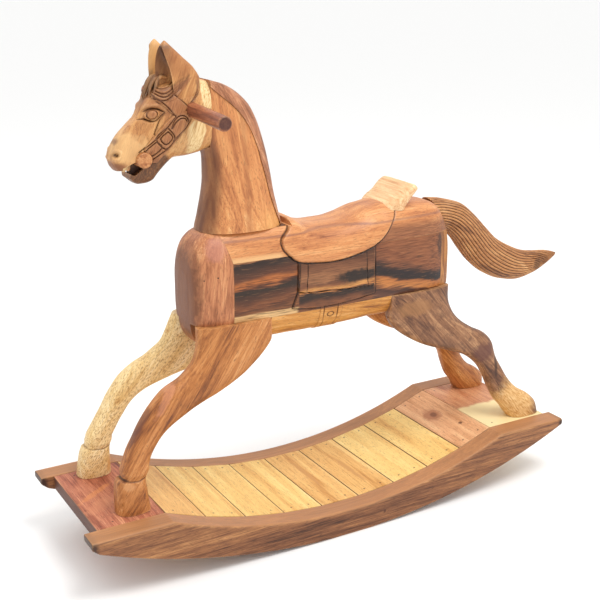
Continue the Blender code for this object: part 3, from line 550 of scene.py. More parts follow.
def board_rows(start, end, seed):
    """Rows across the deck, each the eased outline of the board."""
    rng = np.random.default_rng(seed)
    z0, z1 = float(deck_height(start)), float(deck_height(end))
    along = np.array([end - start, z1 - z0])
    along /= np.linalg.norm(along)
    down = np.array([along[1], -along[0]])
    plumb = np.array([0, -1 / along[0]])
    a, b = np.array([start, z0]) + along * 0.5 * MM, np.array([end, z1]) - along * 0.5 * MM
    down_a = plumb if start < -HALF_SLATS + MM else down
    down_b = plumb if end > HALF_SLATS - MM else down
    corners = [a, b, b + down_b * (BOARD - 0.2 * MM), a + down_a * (BOARD - 0.2 * MM)]
    outline = []
    for k, corner in enumerate(corners):
        before, after = corners[k - 1] - corner, corners[(k + 1) % 4] - corner
        before, after = before / np.linalg.norm(before), after / np.linalg.norm(after)
        r = 1.1 * MM if k < 2 else 0.6 * MM
        for t in (0, 0.3, 0.7, 1):
            outline.append(corner + before * r * (1 - t) ** 2 + after * r * t ** 2)
        edge_parts = 10 if k == 0 else 4
        following = corners[(k + 1) % 4]
        for i in range(1, edge_parts):
            outline.append(corner + (following - corner) * i / edge_parts)
    outline = np.array(outline)
    centre = outline.mean(axis=0)
    half = HALF_DECK - 0.5 * MM
    places = np.concatenate([[-half, -half + 0.3 * MM, -half + 0.9 * MM],
                             np.linspace(-half + 3 * MM, half - 3 * MM, 40),
                             [half - 0.9 * MM, half - 0.3 * MM, half]])
    rows = []
    for y in places:
        inset = max(0.0, 0.9 * MM - (half - abs(y)))
        ring = centre + (outline - centre) * (1 - inset / 0.03)
        rows.append([(x, y, z - PLATFORM) for x, z in ring])
    rows = np.array(rows)
    cup = -0.25 * MM * (1 + ripple(rows, 0.05, seed)) / 2
    rows[..., 2] += np.where(rows[..., 2] > rows[..., 2].mean() - 0.02, cup, 0)
    rows[..., 2] -= rng.uniform(0.0, 0.25) * MM
    return rows


def nails_and_knots(dots, knots=()):
    """Rows of spots for the nails near a board's ends and for its knots."""
    rows = [((x, y, float(deck_height(x)) - PLATFORM), (2, 2, 6), "#3A2010", 0.85, 0.2) for x, y in dots]
    return rows + [((x, y, float(deck_height(x)) - PLATFORM), reach, shade, 0.85, 0.8)
                   for (x, y), reach, shade in knots]


def two_toned(tree, coordinates, fine, slow):
    """Pale sapwood on the near side of the rear board."""
    across = add(tree, SPLIT, [coordinates], out="Y")
    edge = add(tree, MATH, [slow, 0.030, across], **TIMES_PLUS)
    share = add(tree, RANGE, [edge, 0.005, 0.013, 1.0, 0.0])
    return [(add(tree, MATH, [share, 0.92], **TIMES), "#F0DCA4")]


PINE = [(0.0, "#AE7836"), (0.22, "#D6A156"), (0.5, "#E4B96C"), (0.78, "#ECC87C"), (1.0, "#F3D898")]
WARM_PINE = [(0.0, "#915A28"), (0.25, "#C48A44"), (0.5, "#DAA760"), (0.75, "#E5B870"), (1.0, "#F0CE8C")]
PINK_PINE = [(0.0, "#84502E"), (0.3, "#BE8252"), (0.55, "#D8A072"), (0.8, "#E4B484"), (1.0, "#EECA96")]
RED_BOARD = [(0.0, "#63301F"), (0.28, "#8F4C35"), (0.5, "#AC6549"), (0.75, "#C07C5C"), (1.0, "#DEA074")]


def board_notes(start, end):
    """Shade gathers in the joints on either side of a board."""
    z0, z1 = float(deck_height(start)) - PLATFORM, float(deck_height(end)) - PLATFORM
    length = math.hypot(end - start, z1 - z0)

    def notes(points):
        run = ((points[:, 0] - start) * (end - start) + (points[:, 2] - z0) * (z1 - z0)) / length
        edge = np.minimum(run, length - run)
        return {"line": 0.95 * (1 - smooth((edge - 0.5 * MM) / (1.1 * MM)))}
    return notes


def red_marks(tree, coordinates, fine, slow):
    """Orange streak across the board and a dark sawn end."""
    aslant = (0, 0, math.radians(35))
    forward = add(tree, SPLIT, [add(tree, FACING)], out="X")
    return [spot(tree, coordinates, (-0.390, 0.012, 0.0), (52, 7, 30), "#D88C50", 0.42, 1.4, aslant),
            spot(tree, coordinates, (-0.398, -0.030, 0.0), (40, 16, 30), "#C4805C", 0.5, 1.2, aslant),
            (add(tree, RANGE, [forward, -0.5, -0.9, 0.0, 0.88]), "#44261A")]


SALMON = [(0.0, "#8A4F30"), (0.3, "#B4724A"), (0.55, "#C88A62"), (0.8, "#D49A6E"), (1.0, "#E0AF80")]

for number in range(1, 10):
    start, end = JOINTS[number - 1], JOINTS[number]
    tones = PINK_PINE if number == 9 else WARM_PINE if number in (1, 5, 6) else PINE
    middle = (start + end) / 2
    dots = [(middle + dx, side * 0.090) for side in (-1, 1) for dx in (-0.016, 0.017)]
    knots = []
    if number == 9:
        knots = [((middle - 0.004, 0.020), (17, 26, 30), "#A86A44"),
                 ((middle - 0.002, 0.018), (7, 10, 30), "#7A4628"),
                 ((middle + 0.012, -0.045), (4, 5, 20), "#5A3018")]
    if number in (5, 6):
        knots = [((middle, 0.03 * (5.5 - number)), (5, 60, 30), "#C08A4C")]
    wood = oiled_wood(f"sanded_pine_slat_{number}", "pine_slats", tones, turn=ACROSS, figure=(0.30, 0.022),
                      rings=5, ring_share=0.12, fibre=0.26, clouds=0.14, pores=0.50, dark="#7A4A22",
                      light="#F4E2B4", gloss=(0.46, 0.60), offset=(number * 0.173, number * 0.31, 0.2),
                      spots=nails_and_knots(dots, knots))
    finish_piece(f"slat_{number}", skin(board_rows(start, end, number)), wood, notes=board_notes(start, end))

red_dots = [(-0.338 - dx, side * 0.088) for side in (-1, 1) for dx in (0.0, 0.06)]
wood = oiled_wood("oiled_red_heart_board", "red_platform", RED_BOARD, turn=ACROSS, figure=(0.25, 0.03),
                  rings=6, ring_share=0.30, gloss=(0.50, 0.62), dark="#4A2416", marks=red_marks,
                  spots=nails_and_knots(red_dots))
finish_piece("front_platform_board", skin(board_rows(-0.4285, -HALF_SLATS, 21)), wood)
wood = oiled_wood("oiled_two_toned_board", "pine_slats", SALMON, turn=ACROSS, figure=(0.25, 0.03), rings=6,
                  ring_share=0.25, dark="#5A3018", marks=two_toned,
                  spots=nails_and_knots([(0.335, -0.088), (0.335, 0.088)]))
finish_piece("rear_platform_board", skin(board_rows(HALF_SLATS, 0.445, 22)), wood)

# %% [markdown]
# ## The trunk and its saddle
# Five glued boards make the trunk. The saddle, its side panel and the girth strap are carved from
# the same wood and stand out by a few millimetres. One dense form is drawn through 23 sections,
# the relief is raised and the lines are cut in, and the boards are sawn apart last.

# %% Trunk form
TRUNK = [
    (-0.2320, 0.350, 0.285, 0.020), (-0.2300, 0.366, 0.256, 0.034), (-0.2240, 0.386, 0.239, 0.044),
    (-0.2140, 0.401, 0.229, 0.051), (-0.2000, 0.410, 0.226, 0.0545), (-0.1750, 0.416, 0.225, 0.0570),
    (-0.1400, 0.419, 0.224, 0.0585), (-0.1000, 0.420, 0.224, 0.0595), (-0.0700, 0.418, 0.224, 0.0600),
    (-0.0550, 0.4135, 0.224, 0.0600), (-0.0300, 0.4010, 0.224, 0.0600), (0.0000, 0.3965, 0.224, 0.0600),
    (0.0300, 0.3970, 0.224, 0.0600), (0.0650, 0.4025, 0.225, 0.0600), (0.1000, 0.4160, 0.226, 0.0600),
    (0.1300, 0.4210, 0.226, 0.0600), (0.1600, 0.4185, 0.224, 0.0600), (0.1900, 0.4165, 0.222, 0.0595),
    (0.2150, 0.4150, 0.221, 0.0570), (0.2330, 0.4090, 0.222, 0.0525), (0.2460, 0.3940, 0.224, 0.0465),
    (0.2555, 0.3720, 0.228, 0.0385), (0.2605, 0.3480, 0.236, 0.0260)]
FLAP_EDGE = [(-0.0605, 0.440)] + curved([
    (-0.0605, 0.416), (-0.068, 0.404), (-0.083, 0.391), (-0.083, 0.379), (-0.077, 0.370), (-0.058, 0.354),
    (-0.024, 0.348), (0.011, 0.346), (0.046, 0.350), (0.081, 0.359), (0.104, 0.371), (0.121, 0.389),
    (0.136, 0.410), (0.146, 0.440)])
PANEL = [(-0.056, 0.372), (-0.057, 0.302), (-0.037, 0.299), (0.001, 0.297), (0.039, 0.295), (0.0875, 0.292),
         (0.088, 0.372)]
SKIRT = [(-0.056, 0.372), (-0.057, 0.302), (-0.067, 0.277), (-0.040, 0.2725), (-0.014, 0.2710),
         (0.031, 0.2720), (0.060, 0.2750), (0.090, 0.2790), (0.088, 0.372)]
GIRTH = [(-0.014, 0.20), (0.026, 0.20), (0.026, 0.29), (-0.014, 0.29)]
INCISED = [
    ([(-0.041, 0.350), (-0.041, 0.329), (-0.043, 0.301)], 2.0),
    ([(0.071, 0.357), (0.072, 0.320), (0.075, 0.293)], 2.0),
    ([(-0.056, 0.302), (-0.037, 0.299), (0.001, 0.297), (0.039, 0.295), (0.087, 0.293)], 2.2),
    ([(-0.0545, 0.356), (-0.0555, 0.321), (-0.0585, 0.302), (-0.0675, 0.277)], 3.0),
    ([(0.0895, 0.357), (0.0895, 0.320), (0.0905, 0.279)], 2.4), ([(-0.008, 0.271), (-0.006, 0.222)], 1.8),
    ([(0.019, 0.272), (0.017, 0.222)], 1.8)]
BUCKLE = (0.0055, 0.255)


def trunk_lines(x, z):
    """Depth of the cut lines on the trunk's sides, from nought to one; the finish also darkens them as
    painted shade.
    """
    cuts = np.zeros(x.shape)
    for line, width in INCISED:
        cuts = np.maximum(cuts, groove(x, z, line, 1.25 * width * MM))
    ring = np.abs(np.hypot((x - BUCKLE[0]) / 1.5, z - BUCKLE[1]) - 4.0 * MM)
    cuts = np.maximum(cuts, 1 - smooth(ring / (1.1 * MM)))
    cuts = np.maximum(cuts, 0.8 * moat(x, z, SKIRT, 2.6 * MM) * (z > 0.268))
    cuts = np.where(within(x, z, FLAP_EDGE), 0.0, cuts)
    below = smooth((0.4150 - z) / 0.006)
    return np.maximum(cuts, moat(x, z, FLAP_EDGE, 3.4 * MM) * below)


stations = [((x, top), (x, low), half) for x, top, low, half in TRUNK]
trunk = shape(stations, 1.45 * MM, 330, 3.3)
trunk = dome(trunk, 1.6 * MM, at_start=True)
x, z = trunk[..., 0], trunk[..., 2]
# The flap is padded, so it swells a little further in from its edge.
flap = 3.6 * MM * plateau(x, z, FLAP_EDGE, 1.8 * MM) + 2.0 * MM * plateau(x, z, FLAP_EDGE, 20 * MM)
# It thins out towards the foot of the cantle.
flap *= 1 - 0.85 * smooth((x - 0.070) / 0.045) * smooth((z - 0.385) / 0.022)
raised = np.maximum(flap, 1.5 * MM * plateau(x, z, GIRTH, 1.4 * MM))
raised = np.maximum(raised, 1.9 * MM * plateau(x, z, SKIRT, 1.4 * MM))
raised = np.maximum(raised, 3.1 * MM * plateau(x, z, PANEL, 1.4 * MM))
raised += -1.6 * MM * trunk_lines(x, z) + 0.35 * MM * ripple(trunk, 0.055, 11)
trunk = trunk + outward(trunk) * raised[..., None]
print("trunk rows and ring:", trunk.shape[:2])

# %% [markdown]
# ### Woods of the trunk
# The barrel is a block of dark heartwood with near-black and orange bands that run along it and
# sink towards the rump. The bands are noted on the mesh as a height that follows that flow, and
# the finish turns the height into colour through one ramp for each stretch of the block. The
# boards round it are plainer tan wood, with the grain upright in chest and rump.

# %% Trunk woods
def barrel_notes(points):
    """Height within the bands, and which stretch of the block a point is on."""
    x, z = points[:, 0], points[:, 2]
    front = np.clip((x + 0.17) / 0.11, 0, 1)
    rear = np.clip((x - 0.09) / 0.13, 0, 1)
    drop = np.where(x < -0.057, -0.012 * front ** 1.5, 0.024 * rear)
    zone_rear = smooth((x - 0.084) / 0.008)
    zone_front = 1 - smooth((x + 0.060) / 0.006)
    foot = zone_front * (1 - smooth((z - 0.2765 - 0.0005 * np.sin(x * 90)) / 0.0022))
    band = (z + drop - 0.267) / 0.097
    # The near-black band gets thinner towards the rump.
    band = np.where((x > 0.0) & (band > 0.40), 0.40 + (band - 0.40) * (1 + 0.9 * rear), band)
    return {"band": band, "stretch_front": zone_front, "stretch_rear": zone_rear,
            "pale_foot": foot, "line": trunk_lines(x, z), "flap": plateau(x, z, FLAP_EDGE, 0.8 * MM)}


# Colours of the bands from the foot of the block to its top, one ramp for each stretch
FRONT_BANDS = [
    (0.0, "#5A3018"), (0.10, "#7C4A28"), (0.155, "#5C3018"), (0.25, "#7C4626"), (0.34, "#4A2616"),
    (0.41, "#190E0B"), (0.49, "#150C0A"), (0.54, "#5E2E16"), (0.61, "#B3662E"), (0.68, "#5C301C"),
    (0.78, "#4A2A1C"), (0.86, "#241614"), (0.94, "#181011"), (0.985, "#7A4E32"), (1.0, "#A87448")]
SIDE_BANDS = [
    (0.0, "#6A3C22"), (0.10, "#7E4A2A"), (0.16, "#3E2014"), (0.20, "#170D0A"), (0.275, "#1F120D"),
    (0.31, "#B0703C"), (0.36, "#D0924F"), (0.41, "#84502E"), (0.46, "#6E4028"), (0.58, "#94623E"),
    (0.68, "#845436"), (0.80, "#633A24"), (0.92, "#4A2A1A"), (1.0, "#5A3420")]
REAR_BANDS = [
    (0.0, "#3E231A"), (0.10, "#5E3828"), (0.18, "#43241A"), (0.235, "#7C4A2A"), (0.29, "#C67E3E"),
    (0.37, "#B46C34"), (0.40, "#4A2616"), (0.425, "#0C0A0D"), (0.60, "#0E0C18"), (0.65, "#3A2218"),
    (0.71, "#6C3F2A"), (0.84, "#8A5232"), (0.93, "#7A4429"), (1.0, "#8A5232")]


def barrel_marks(tree, coordinates, fine, slow):
    """Bands of heartwood below the flap, with fine light and dark fibres over them."""
    cell = add(tree, CELL, {"Vector": coordinates, "Scale": (0.060, 0.016, 0.016)}, vector_type="TEXTURE")
    wander = add(tree, NOISE, {"Vector": cell, "Scale": 1.0, "Detail": 3.0, "Roughness": 0.5})
    band = add(tree, NOTE, attribute_name="band")
    for part, weight in ((wander, 0.10), (fine, 0.07)):
        band = add(tree, MATH, [add(tree, RANGE, [part, 0.3, 0.7, -0.5, 0.5]), weight, band], **TIMES_PLUS)
    front, side, rear = (add(tree, RAMP, [band], bands) for bands in (FRONT_BANDS, SIDE_BANDS, REAR_BANDS))
    mixed = lay(tree, side, [
        (add(tree, NOTE, attribute_name="stretch_front"), front),
        (add(tree, NOTE, attribute_name="stretch_rear"), rear),
        spot(tree, coordinates, (0.056, -0.062, 0.316), (48, 50, 13), "#120C0C", 1.0, 0.8),
        spot(tree, coordinates, (-0.020, -0.062, 0.320), (30, 50, 13), "#9A6844", 0.6, 0.8),
        spot(tree, coordinates, (0.226, -0.060, 0.345), (9, 30, 26), "#33201A", 0.7, 0.9),
        (add(tree, NOTE, attribute_name="pale_foot"), "#DDB47C")])
    threads = add(tree, RAMP, [fine], [(0.30, "#6E6A68"), (0.46, "#D8D4D0"), (0.62, "#FFFFFF")])
    mixed = add(tree, MIX, {0: 0.85, 6: mixed, 7: threads}, data_type="RGBA", blend_type="MULTIPLY")
    glow = add(tree, MATH, [add(tree, RANGE, [fine, 0.60, 0.72]), 0.35], **TIMES)
    below_flap = add(tree, MATH, [add(tree, NOTE, attribute_name="flap"), -0.97, 0.97], **TIMES_PLUS)
    return [(below_flap, lay(tree, mixed, [(glow, "#A87448")]))]


def seat_marks(tree, coordinates, fine, slow):
    """Grey-purple heart line that crosses the seat, and the pale strip along the board's foot."""
    along, _, upright = (add(tree, SPLIT, [coordinates], out=axis) for axis in "XYZ")
    height = add(tree, MATH, [slow, 0.010, upright], **TIMES_PLUS)
    away = add(tree, MATH, [height, PLATFORM + 0.4015], operation="SUBTRACT")
    streak = add(tree, RANGE, [add(tree, MATH, [away], operation="ABSOLUTE"), 0.0006, 0.0030, 0.5, 0.0])
    foot = add(tree, RANGE, [upright, PLATFORM + 0.368, PLATFORM + 0.374, 0.7, 0.0])
    ahead = add(tree, RANGE, [along, SHIFT - 0.090, SHIFT - 0.080, 1.0, 0.0])
    # Behind the flap the board is as brown as the block below it, up to the heart line.
    low = add(tree, RANGE, [height, PLATFORM + 0.386, PLATFORM + 0.398, 0.85, 0.0])
    behind = add(tree, NOTE, attribute_name="behind")
    shade = add(tree, RAMP, [fine], [(0.3, "#583322"), (0.5, "#7A4930"), (0.7, "#9A6240")])
    return [(streak, "#7A5248"), (add(tree, MATH, [foot, ahead], **TIMES), "#DDB27C"),
            (add(tree, MATH, [low, behind], **TIMES), shade)]


def seat_notes(points):
    x, z = points[:, 0], points[:, 2]
    behind = smooth((x - 0.085) / 0.012) * (1 - plateau(x, z, FLAP_EDGE, 1.0 * MM))
    return {"line": trunk_lines(x, z), "behind": behind}


def lines_only(points):
    return {"line": trunk_lines(points[:, 0], points[:, 2])}


SEAT = [(0.0, "#84492A"), (0.25, "#B06E42"), (0.5, "#C5824F"), (0.75, "#D4955F"), (1.0, "#E3AC78")]
CHEST = [(0.0, "#6A3A22"), (0.25, "#965A36"), (0.5, "#B0704A"), (0.75, "#C28256"), (1.0, "#D49A6C")]
RUMP = [(0.0, "#5A3018"), (0.25, "#885226"), (0.5, "#A46A34"), (0.75, "#BC8044"), (1.0, "#D69C5E")]
GOLD = [(0.0, "#7E4A20"), (0.25, "#AE7030"), (0.5, "#C4843C"), (0.75, "#D2954C"), (1.0, "#E3AC6C")]
# The foot of the flap reaches down over the block, so the block shares the seat's grain there.
SEAT_GRAIN = dict(figure=(0.30, 0.024), rings=6, ring_share=0.2, fibre=0.32, pores=0.4, gloss=(0.34, 0.48))
barrel_wood = oiled_wood("oiled_dark_heartwood", "dark_heartwood", SEAT, dark="#1A0E0A", light="#B57A4C",
                         marks=barrel_marks, **SEAT_GRAIN)
seat_wood = oiled_wood("rubbed_saddle_wood", "tan_carving", SEAT, marks=seat_marks, **SEAT_GRAIN)
# Painted shade on the front face, a rosy shoulder and two dark pores
CHEST_SPOTS = [((-0.240, 0.0, 0.315), (30, 90, 120), "#63371F", 0.8, 0.6),
               ((-0.196, -0.055, 0.390), (22, 30, 26), "#B87A66", 0.6, 0.7)]
CHEST_SPOTS += [((x, -0.055, z), (1.7, 12, 1.7), "#2A140C", 0.9, 0.2)
                for x, z in ((-0.217, 0.342), (-0.196, 0.345))]
chest_wood = oiled_wood("oiled_chest_block", "tan_carving", CHEST, turn=turned(84), figure=(0.16, 0.022),
                        rings=6, ring_share=0.3, offset=(0.4, 0.1, 0), spots=CHEST_SPOTS)
rump_wood = oiled_wood("oiled_rump_block", "tan_carving", RUMP, turn=turned(96), figure=(0.14, 0.016),
                       rings=7, ring_share=0.42, offset=(0.1, 0.5, 0))
belly_wood = oiled_wood("oiled_belly_board", "brown_carving", GOLD, turn=turned(-6), figure=(0.26, 0.026),
                        rings=7, ring_share=0.3, offset=(0.2, 0.3, 0.6))

# %% Saw the trunk apart
SEAM = 0.15 * MM
LOW, MID, TOP = 0.267, 0.364, 0.409
CHEST_X, SCARF_X, RUMP_X, POMMEL_X = -0.170, -0.185, 0.231, -0.0605
TONGUE = 0.022
FAR = 0.5
TAIL_SEAT = [(0.2050, 0.4680), (0.2694, 0.3438), (FAR, 0.3438), (FAR, 0.4680)]
body = cut(skin(trunk), prism(TAIL_SEAT))
breast = prism([(-FAR, LOW + SEAM), (CHEST_X - SEAM, LOW + SEAM), (CHEST_X - SEAM, MID),
                (SCARF_X - SEAM, TOP), (-FAR, TOP)])
throat = prism([(-FAR, 0), (CHEST_X - SEAM, 0), (CHEST_X - SEAM, LOW + 0.01), (-FAR, LOW + 0.01)],
               -TONGUE + SEAM, TONGUE - SEAM)
finish_piece("chest_block", common(body.copy(), combine(breast, throat, "UNION")), chest_wood,
             notes=lines_only)
seat = prism([(CHEST_X + SEAM, MID + SEAM), (FAR, MID + SEAM), (FAR, FAR), (POMMEL_X, FAR), (POMMEL_X, TOP),
              (SCARF_X + SEAM, TOP)])
finish_piece("saddle_board", common(body.copy(), seat), seat_wood, notes=seat_notes)
barrel = prism([(CHEST_X + SEAM, LOW + SEAM), (RUMP_X - SEAM, LOW + SEAM), (RUMP_X - SEAM, MID - SEAM),
                (CHEST_X + SEAM, MID - SEAM)])
finish_piece("barrel_block", common(body.copy(), barrel), barrel_wood, notes=barrel_notes)
rump = prism([(RUMP_X + SEAM, LOW + SEAM), (FAR, LOW + SEAM), (FAR, MID - SEAM), (RUMP_X + SEAM, MID - SEAM)])
finish_piece("rump_block", common(body.copy(), rump), rump_wood, notes=lines_only)
belly = common(body, prism([(CHEST_X + SEAM, 0), (FAR, 0), (FAR, LOW - SEAM), (CHEST_X + SEAM, LOW - SEAM)]))
FRONT_LEG_X, HIND_LEG_X = -0.104, 0.127
for side in (-1, 1):
    for start, end in ((-FAR, FRONT_LEG_X + SEAM), (HIND_LEG_X - SEAM, FAR)):
        room = prism([(start, 0), (end, 0), (end, LOW + 0.01), (start, LOW + 0.01)],
                     *sorted((side * (TONGUE - SEAM), side * FAR)))
        belly = cut(belly, room)
finish_piece("belly_board", belly, belly_wood, notes=lines_only)

# %% [markdown]
# ## The cantle
# The raised back of the seat is a separate, paler board that leans back and is carved by hand to a
# few soft lumps. Its foot has to follow the seat exactly, so it is drawn as a leaning form that
# runs into the trunk and is then cut by a copy of the trunk.

# %% Cantle
CANTLE = [
    ((0.1140, 0.4040), (0.166, 0.390), 0.0455), ((0.1235, 0.4190), (0.166, 0.409), 0.0462),
    ((0.1430, 0.4330), (0.174, 0.425), 0.0465), ((0.1590, 0.4453), (0.182, 0.437), 0.0488),
    ((0.168, 0.4508), (0.185, 0.4425), 0.0480), ((0.172, 0.4520), (0.182, 0.4470), 0.0435)]


def cantle_middle(front_z, back_z):
    """The foot sits a little towards the far side."""
    return 3.5 * MM * (1 - smooth((front_z - 0.404) / 0.030))


cantle = dome(shape(CANTLE, 1.6 * MM, 150, 3.4, cantle_middle), 0.6 * MM)
cantle = cantle + outward(cantle) * (ripple(cantle, 0.026, 31) * 0.6 * MM)[..., None]
under = shape([((x, top + 0.6 * MM), (x, low - 0.6 * MM), half + 0.6 * MM) for x, top, low, half in TRUNK],
              4 * MM, 120, 3.3)
CREAM = [(0.0, "#B07C4E"), (0.25, "#D3A070"), (0.5, "#E2B888"), (0.75, "#EAC696"), (1.0, "#F3D8B0")]
cantle_wood = oiled_wood("sanded_sapwood_cantle", "pale_sapwood", CREAM, turn=ACROSS, figure=(0.16, 0.014),
                         rings=6, ring_share=0.4, fibre=0.25, pores=0.35, dark="#8A5A30", light="#F6E8C4")
finish_piece("cantle", cut(skin(cantle), skin(under)), cantle_wood)

# %% [markdown]
# ## The neck and the mane
# The mane stands a little proud of the neck along a flowing line, and its hair is cut as fine
# strands that run down and back. Both are the same form: the mane's copy is raised and grooved,
# and each copy is trimmed along the line between them.

# %% Neck and mane
NECK = [
    ((-0.2045, 0.390), (-0.0620, 0.390), 0.0510), ((-0.2040, 0.409), (-0.0645, 0.409), 0.0500),
    ((-0.1990, 0.432), (-0.0700, 0.432), 0.0455), ((-0.1930, 0.462), (-0.0770, 0.462), 0.0410),
    ((-0.1895, 0.492), (-0.0820, 0.492), 0.0370), ((-0.1900, 0.522), (-0.0880, 0.522), 0.0340),
    ((-0.1980, 0.546), (-0.0950, 0.548), 0.0325), ((-0.2040, 0.570), (-0.1030, 0.572), 0.0315),
    ((-0.2080, 0.598), (-0.1160, 0.597), 0.0305), ((-0.2100, 0.622), (-0.1360, 0.617), 0.0290),
    ((-0.2120, 0.640), (-0.1600, 0.631), 0.0260), ((-0.2140, 0.6500), (-0.1900, 0.6400), 0.0200)]
MANE_LINE = [(-0.200, 0.652), (-0.187, 0.630), (-0.149, 0.598), (-0.126, 0.569), (-0.113, 0.539),
             (-0.103, 0.504), (-0.091, 0.457), (-0.079, 0.424), (-0.069, 0.400)]
HEAD_X, HEAD_FOOT = -0.188, 0.540


def mane_outline(shift):
    moved = [(x + shift, z + shift) for x, z in MANE_LINE]
    return curved(moved, 5) + [(0.05, 0.380), (0.05, 0.75), (-0.205, 0.75)]


def strands(points):
    """Fine cut hair that slants away from the mane's line, from nought to one in the cuts."""
    x, z = points[..., 0], points[..., 2]
    away = nearness(x, z, curved(MANE_LINE, 5))
    slant = z + 0.55 * x + 0.9 * away + 0.004 * ripple(points, 0.06, 41)
    wave = np.abs(np.sin(slant / (5.2 * MM) * np.pi))
    return (1 - smooth(wave / 0.45)) * (0.55 + 0.45 * ripple(points, 0.03, 42))


behind_head = [(-FAR, HEAD_FOOT), (HEAD_X + SEAM, HEAD_FOOT), (HEAD_X + SEAM, 0.9), (-FAR, 0.9)]
neck_foot = [(-FAR, 0), (FAR, 0), (FAR, TOP + 2 * SEAM), (-FAR, TOP + 2 * SEAM)]
neck = shape(NECK, 1.8 * MM, 200, 2.4)
mane = neck.copy()
neck = neck + outward(neck) * (ripple(neck, 0.05, 43) * 0.4 * MM)[..., None]
hair = 1.8 * MM - 0.9 * MM * strands(mane) + 0.3 * MM * ripple(mane, 0.04, 44)
mane = mane + outward(mane) * hair[..., None]
NECK_TONES = [(0.0, "#824A28"), (0.25, "#B06E40"), (0.5, "#C6834E"), (0.75, "#D4955C"), (1.0, "#E4AF76")]
MANE_TONES = [(0.0, "#613622"), (0.25, "#8C583A"), (0.5, "#A66C4A"), (0.75, "#B87E5A"), (1.0, "#CE986E")]


def neck_marks(tree, coordinates, fine, slow):
    """Darker strip down the front of the throat, partly darker wood and partly painted shade, and a dark
    streak behind it.
    """
    along, _, upright = (add(tree, SPLIT, [coordinates], out=axis) for axis in "XYZ")
    across = add(tree, MATH, [slow, 0.014, along], **TIMES_PLUS)
    throat = add(tree, NOTE, attribute_name="throat")
    throat = add(tree, MATH, [throat, add(tree, RANGE, [slow, 0.35, 0.6, 0.95, 0.70])], **TIMES)
    away = add(tree, MATH, [across, SHIFT - 0.128], operation="SUBTRACT")
    streak = add(tree, RANGE, [add(tree, MATH, [away], operation="ABSOLUTE"), 0.002, 0.009, 0.5, 0.0])
    low = add(tree, RANGE, [upright, PLATFORM + 0.45, PLATFORM + 0.40, 0.0, 0.55])
    rear = add(tree, RANGE, [across, SHIFT - 0.12, SHIFT - 0.09])
    return [(throat, "#63381F"), (streak, "#9A5F38"), (add(tree, MATH, [low, rear], **TIMES), "#E0A860")]


def neck_notes(points):
    x, z = points[:, 0], points[:, 2]
    front = np.interp(z, [fz for (_, fz), *_ in NECK], [fx for (fx, _), *_ in NECK])
    return {"throat": 1 - smooth((x - front - 0.007) / 0.016)}


neck_wood = oiled_wood("oiled_neck_board", "tan_carving", NECK_TONES, turn=turned(99), figure=(0.24, 0.020),
                       rings=7, ring_share=0.36, fibre=0.26, marks=neck_marks)
mane_wood = oiled_wood("oiled_mane_board", "tan_carving", MANE_TONES, turn=turned(118),
                       figure=(0.12, 0.012), rings=5, ring_share=0.3, fibre=0.4, offset=(0.7, 0.2, 0.1))

# %% [markdown]
# ## The head
# The skull and jaws are one form, drawn through ribs that run from the face to the underside. On
# it the carver raised a bridle of straps, a browband and a lock of hair, and cut their edges in
# with a fine gouge. The eye is a low boss between two lids. The ears are hollow cups.

# %% Head form
HEAD = [
    ((-0.1700, 0.6380), (-0.1700, 0.5370), 0.0290), ((-0.1880, 0.6400), (-0.1880, 0.5375), 0.0305),
    ((-0.2050, 0.6430), (-0.2060, 0.5325), 0.0320), ((-0.2350, 0.6440), (-0.2270, 0.5295), 0.0325),
    ((-0.2630, 0.6380), (-0.2440, 0.5285), 0.0318), ((-0.2795, 0.6230), (-0.2545, 0.5220), 0.0302),
    ((-0.2900, 0.6095), (-0.2625, 0.5145), 0.0282), ((-0.2985, 0.5940), (-0.2710, 0.5055), 0.0262),
    ((-0.3125, 0.5805), (-0.2785, 0.4970), 0.0250), ((-0.3270, 0.5665), (-0.2895, 0.4935), 0.0244),
    ((-0.3375, 0.5500), (-0.2990, 0.4930), 0.0240), ((-0.3420, 0.5375), (-0.3065, 0.4955), 0.0228),
    ((-0.3395, 0.5250), (-0.3115, 0.5000), 0.0195), ((-0.3335, 0.5150), (-0.3160, 0.5040), 0.0120)]
CHEEK = [(-0.2960, 0.548), (-0.2620, 0.586), (-0.2400, 0.6030), (-0.2290, 0.6000), (-0.2240, 0.5880),
         (-0.2300, 0.5770), (-0.2480, 0.5560), (-0.2780, 0.526), (-0.2900, 0.5270)]
BROW = [(-0.2740, 0.6170), (-0.2480, 0.5930), (-0.2260, 0.6040), (-0.2430, 0.6210), (-0.2560, 0.6290)]
CROWN = [(-0.2270, 0.6080), (-0.2240, 0.6040), (-0.2090, 0.6240), (-0.2050, 0.6480), (-0.2090, 0.6500),
         (-0.2120, 0.6270)]
LOCK = [(-0.2780, 0.6330), (-0.2775, 0.6200), (-0.2640, 0.6130), (-0.2480, 0.6160), (-0.2330, 0.6300),
        (-0.2170, 0.6490), (-0.2400, 0.6400), (-0.2600, 0.6330)]
